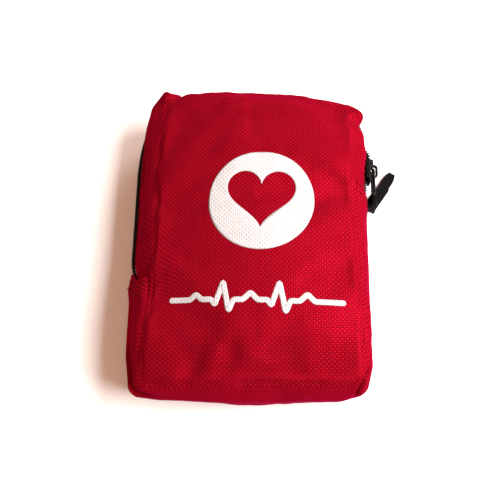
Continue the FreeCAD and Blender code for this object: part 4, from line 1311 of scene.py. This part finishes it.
def pillow(low, high, seed, crimp):
    """A filled packet: puffed in the middle, crimped at its two ends along X, sealed at its sides."""
    rng = np.random.default_rng(seed)
    half, middle = (high - low) / 2, (high + low) / 2
    u, v = np.meshgrid(np.linspace(-1, 1, 41), np.linspace(-1, 1, 29), indexing="ij")
    end, side = half[0] * (1 - np.abs(u)), half[1] * (1 - np.abs(v))
    puff = smoothstep(crimp * 0.5, crimp * 2.0, end) * smoothstep(-0.5, 4.5, side)
    wave = np.zeros_like(u)
    for _ in range(PACKET_WAVES):
        direction, phase = rng.normal(size=2) * 3.2, rng.uniform(0, 6.3)
        wave += np.sin(u * direction[0] + v * direction[1] + phase) / PACKET_WAVES
    thick = FILM + (half[2] - FILM) * puff * (0.88 + 0.22 * wave)
    turn = math.radians(rng.uniform(-1.5, 1.5))
    x, y = u * half[0], v * half[1]
    ridge = CRIMP_HEIGHT * np.sin(x * 2 * math.pi / CRIMP_PITCH) * smoothstep(crimp, crimp * 0.7, end)
    px = middle[0] + x * math.cos(turn) - y * math.sin(turn)
    py = middle[1] + x * math.sin(turn) + y * math.cos(turn)
    layers = [np.stack([px, py, middle[2] + sign * thick + ridge], axis=2).reshape(-1, 3) for sign in (1, -1)]
    index = grid(*u.shape)
    top, under = index, index + index.size
    rim = [np.concatenate([g[:, 0], g[-1, 1:], g[-2::-1, -1], g[0, -2:0:-1], g[:1, 0]]) for g in (top, under)]
    faces = quads(top, down=True) + flipped(quads(under, down=True))
    faces += [[b, a, c, d] for a, b, c, d in zip(rim[0], rim[0][1:], rim[1], rim[1][1:])]
    flat = np.stack([x, y], axis=2).reshape(-1, 2)
    return np.vstack(layers), faces, np.vstack([flat, flat])


def build_packets(name, node, count, material, slot, crimp):
    """A stack of equal packets in one CAD node's space."""
    low, high = box_mm(node)
    step = (high[2] - low[2]) / count
    parts, uv = [], []
    for i in range(count):
        floor = low + (0, 0, i * step + PACKET_GAP)
        roof = np.array([high[0], high[1], low[2] + (i + 1) * step - PACKET_GAP])
        verts, faces, flat = pillow(floor, roof, sum(map(ord, name)) + i, crimp)
        parts.append((verts, faces))
        uv.append(flat)
    piece = make_mesh(name, *join_parts(parts), np.vstack(uv))
    return finish_piece(piece, material, "root", node, slot=slot)


ROLL_LAYER = 1.15  # from one turn of a bandage to the next
ROLL_CORE = 2.0
ROLL_STEP = 0.45  # depth of the grooves between the turns at its ends
ROLL_DROP = 0.35  # share of a layer by which the groove is further in than the edge above it
ROLL_SPOKES = 72


def build_roll(name, node, material):
    """A rolled crepe bandage along X: its layers show as a spiral at both ends, and its free end on top."""
    low, high = box_mm(node)
    radius = (high[2] - low[2]) / 2 - 0.1
    middle = (low + high) / 2
    half = (high[0] - low[0]) / 2 - 0.4
    turns = int((radius - ROLL_CORE) / ROLL_LAYER)
    share = np.arange(ROLL_SPOKES) / ROLL_SPOKES
    angles = 2 * math.pi * share + 0.9
    rings = []
    for k in range(turns):
        edge = radius - k * ROLL_LAYER
        rings += [(-half + ROLL_STEP, edge), (-half, edge - ROLL_DROP * ROLL_LAYER)]
    rings = rings[::-1]
    side = [(-half * (1 - 2 * t), radius) for t in np.linspace(0.03, 0.97, 17)]
    mirrored = [(-x, r) for x, r in rings[::-1]]
    points, uv = [], []
    for x, r in rings + side + mirrored:
        for angle, t in zip(angles, share):
            wobble = 0.12 * math.sin(5 * angle + x * 0.4) + 0.08 * math.sin(11 * angle - x)
            spiral = r - ROLL_LAYER * (1 - t) + wobble * (r / radius)
            points.append(middle + (x, spiral * math.cos(angle), spiral * math.sin(angle)))
            uv.append((x, angle * radius + r))
    faces = flipped(tube_faces(len(points) // ROLL_SPOKES, ROLL_SPOKES))
    return finish_piece(make_mesh(name, points, faces, uv), material, "root", node, slot="crepe")


def carry(material, *names):
    """Gives CAD nodes whose shape is right a finished material."""
    for name in names:
        node = frame["nodes"][name]
        node.data.materials.clear()
        node.data.materials.append(material)


def build_contents():
    """What the pouch holds, packed in layers."""
    white, blue, green = (0.80, 0.80, 0.79, 1), (0.05, 0.16, 0.42, 1), (0.05, 0.30, 0.20, 1)
    foil = wrapper_material("foil_wrapper", white, blue, 0.28, Metallic=0.35)
    paper = wrapper_material("paper_wrapper", (0.84, 0.83, 0.80, 1), green, 0.6, 5.0)
    gauze = wrapper_material("gauze_wrapper", (0.82, 0.84, 0.86, 1), (0.10, 0.32, 0.50, 1), 0.55, 12.0)
    film = wrapper_material("bandage_film", (0.78, 0.74, 0.64, 1), (0.74, 0.70, 0.60, 1), 0.2)
    gloves = wrapper_material("glove_bag", (0.16, 0.30, 0.62, 1), (0.13, 0.26, 0.56, 1), 0.16)
    build_packets("wipe_sachets", "antiseptic_wipes", 6, foil, "foil_sachet", 4.0)
    build_packets("plaster_packets", "sticking_plasters", 6, paper, "plaster_wrap", 3.5)
    for name, node, count, material, slot, crimp, fill in (
        ("gauze_packets", "gauze_swabs", 5, gauze, "gauze_wrap", 5.5, 0.6),
        ("sling_packet", "triangular_bandage", 1, film, "bandage_wrap", 6.0, 0.7),
        ("glove_packet", "nitrile_gloves", 1, gloves, "clear_bag", 6.0, 0.5),
    ):
        build_packets(name, node, count, material, slot, crimp)
    crepe = crepe_material("crepe_cloth", (0.60, 0.50, 0.36, 1), (0.86, 0.78, 0.64, 1))
    build_roll("wide_bandage_roll", "large_bandage", crepe)
    build_roll("narrow_bandage_roll", "small_bandage", crepe)
    steel = metal_material("brushed_steel", (0.50, 0.50, 0.51, 1), (0.72, 0.72, 0.73, 1), 0.3, 1.0, 0.5)
    carry(steel, "upper_scissor_blade", "lower_scissor_blade", "scissor_rivet", "tweezers")
    red = plastic_material("handle_red", (0.42, 0.012, 0.014, 1), (0.52, 0.02, 0.02, 1), 0.35)
    carry(red, "upper_scissor_handle", "lower_scissor_handle")
    spool = plastic_material("spool_white", (0.78, 0.78, 0.76, 1), (0.84, 0.84, 0.82, 1), 0.35)
    carry(spool, "tape_spool", "tape_lid")
    carry(wound_material("tape_layers", (0.66, 0.62, 0.52, 1), (0.86, 0.84, 0.76, 1)), "tape_winding")


# ---- floor, light and camera --------------------------------------------------------------------


def facing(direction, upward):
    """The rotation that points a light's -Z along a direction, its Y as near to upward as it goes."""
    back = -direction.normalized()
    side = upward.cross(back).normalized()
    return Matrix((side, back.cross(side), back)).transposed().to_quaternion()


FLOOR_HALF = 2500
# name, place, size along X and Y, watts and colour of each light
LIGHTS = (
    ("key", (580, -50, 640), (420, 640), 18.5, (0.97, 0.99, 1.0)),
    ("top", (520, 640, 600), (400, 400), 4.5, (0.98, 0.98, 1.0)),
    ("overhead", (-60, 0, 700), (500, 500), 1.2, (1.0, 0.64, 0.45)),
)
WORLD_COLOUR, WORLD_STRENGTH = (1.0, 0.55, 0.38, 1), 0.37


def build_stage():
    """A plain pale flat floor, soft light from the right and from above, and warm light from all round."""
    corners = [(x * FLOOR_HALF, y * FLOOR_HALF, 0) for x, y in ((-1, -1), (1, -1), (1, 1), (-1, 1))]
    floor = make_mesh("floor", corners, [[0, 1, 2, 3]])
    shader = Shader("paper_floor", 0.9, Specular_IOR_Level=0.1)
    shader.colour(shader.mix(shader.noise(0.01, 2.0), (0.93, 0.915, 0.915, 1), (0.95, 0.94, 0.935, 1)))
    floor.data.materials.append(shader.material)
    for name, place, size, power, tint in LIGHTS:
        light = bpy.data.lights.new(name, "AREA")
        light.shape = "RECTANGLE"
        light.size, light.size_y = size[0] * MM, size[1] * MM
        light.energy = power
        light.color = tint
        lamp = bpy.data.objects.new(name, light)
        lamp.location = Vector(place) * MM
        lamp.rotation_mode = "QUATERNION"
        lamp.rotation_quaternion = facing(-Vector(place), Vector((0, 1, 0)))
        bpy.context.scene.collection.objects.link(lamp)
    world = bpy.data.worlds.new("studio")
    world.use_nodes = True
    background = world.node_tree.nodes["Background"]
    background.inputs["Color"].default_value = WORLD_COLOUR
    background.inputs["Strength"].default_value = WORLD_STRENGTH
    bpy.context.scene.world = world
    bpy.context.scene.view_settings.view_transform = "Standard"


LENS = 46.8
CAMERA_AZIMUTH, CAMERA_ELEVATION, CAMERA_ROLL = 10.9, 72.78, -10.52
CAMERA_TARGET, CAMERA_DISTANCE = Vector((0.3, -5.4, 25.0)), 291.6


def build_camera():
    """A camera above the pouch, a little to the right and towards its bottom, rolled clockwise."""
    data = bpy.data.cameras.new("camera")
    data.sensor_width = 36.0
    data.lens = LENS
    data.clip_start, data.clip_end = 0.01, 20.0
    camera = bpy.data.objects.new("camera", data)
    azimuth, elevation, roll = map(math.radians, (CAMERA_AZIMUTH, CAMERA_ELEVATION, CAMERA_ROLL))
    level_part = math.cos(elevation)
    back = Vector((math.sin(azimuth) * level_part, -math.cos(azimuth) * level_part, math.sin(elevation)))
    camera.location = (CAMERA_TARGET + back * CAMERA_DISTANCE) * MM
    look = (-back).to_track_quat("-Z", "Y").to_matrix()
    camera.rotation_mode = "QUATERNION"
    camera.rotation_quaternion = (look @ Matrix.Rotation(roll, 3, "Z")).to_quaternion()
    bpy.context.scene.collection.objects.link(camera)
    bpy.context.scene.camera = camera


# ---- build ---------------------------------------------------------------------------------------


def build():
    """Everything, from the outside in."""
    build_stage()
    build_camera()
    soft_black = (0.012, 0.012, 0.013, 1)
    fabric = fabric_material("red_weave", (0.08, 0.0005, 0.0008, 1), (0.315, 0.0032, 0.0150, 1))
    thread = plastic_material("red_thread", (0.14, 0.001, 0.002, 1), (0.22, 0.002, 0.004, 1), 0.6, 6.0, 0.03,
                              Specular_IOR_Level=0.05)
    black_thread = plastic_material("black_thread", soft_black, (0.03, 0.03, 0.03, 1), 0.6, 6.0, 0.03,
                                    Specular_IOR_Level=0.1)
    tape = tape_material("zip_tape_weave", (0.004, 0.004, 0.004, 1), (0.014, 0.013, 0.014, 1), 0.42)
    webbing = tape_material("black_webbing", soft_black, (0.05, 0.05, 0.052, 1), 1.1)
    ribbon = tape_material("pull_ribbon_weave", (0.0015, 0.0012, 0.0014, 1), (0.006, 0.0045, 0.0055, 1), 0.5)
    coil = plastic_material("coil_nylon", (0.004, 0.004, 0.004, 1), (0.008, 0.008, 0.009, 1), 0.42, 4.0, 0.01,
                            Specular_IOR_Level=0.2)
    lacquer = metal_material("black_lacquer", (0.002, 0.002, 0.002, 1), (0.03, 0.027, 0.027, 1),
                             0.45, 0.0, 0.3)
    shell, front = build_shell(fabric)
    build_zip(shell, tape, coil)
    build_slider(lacquer)
    carry(lacquer, "pull_ring")
    build_ribbon(ribbon)
    ink = print_material()
    front_surface = surface_of(front)
    build_disc(front_surface, ink)
    build_pulse(front_surface, ink)
    build_stitches(shell, thread)
    build_bindings(shell, tape)
    build_belt_loop(webbing, black_thread)
    build_contents()


build()
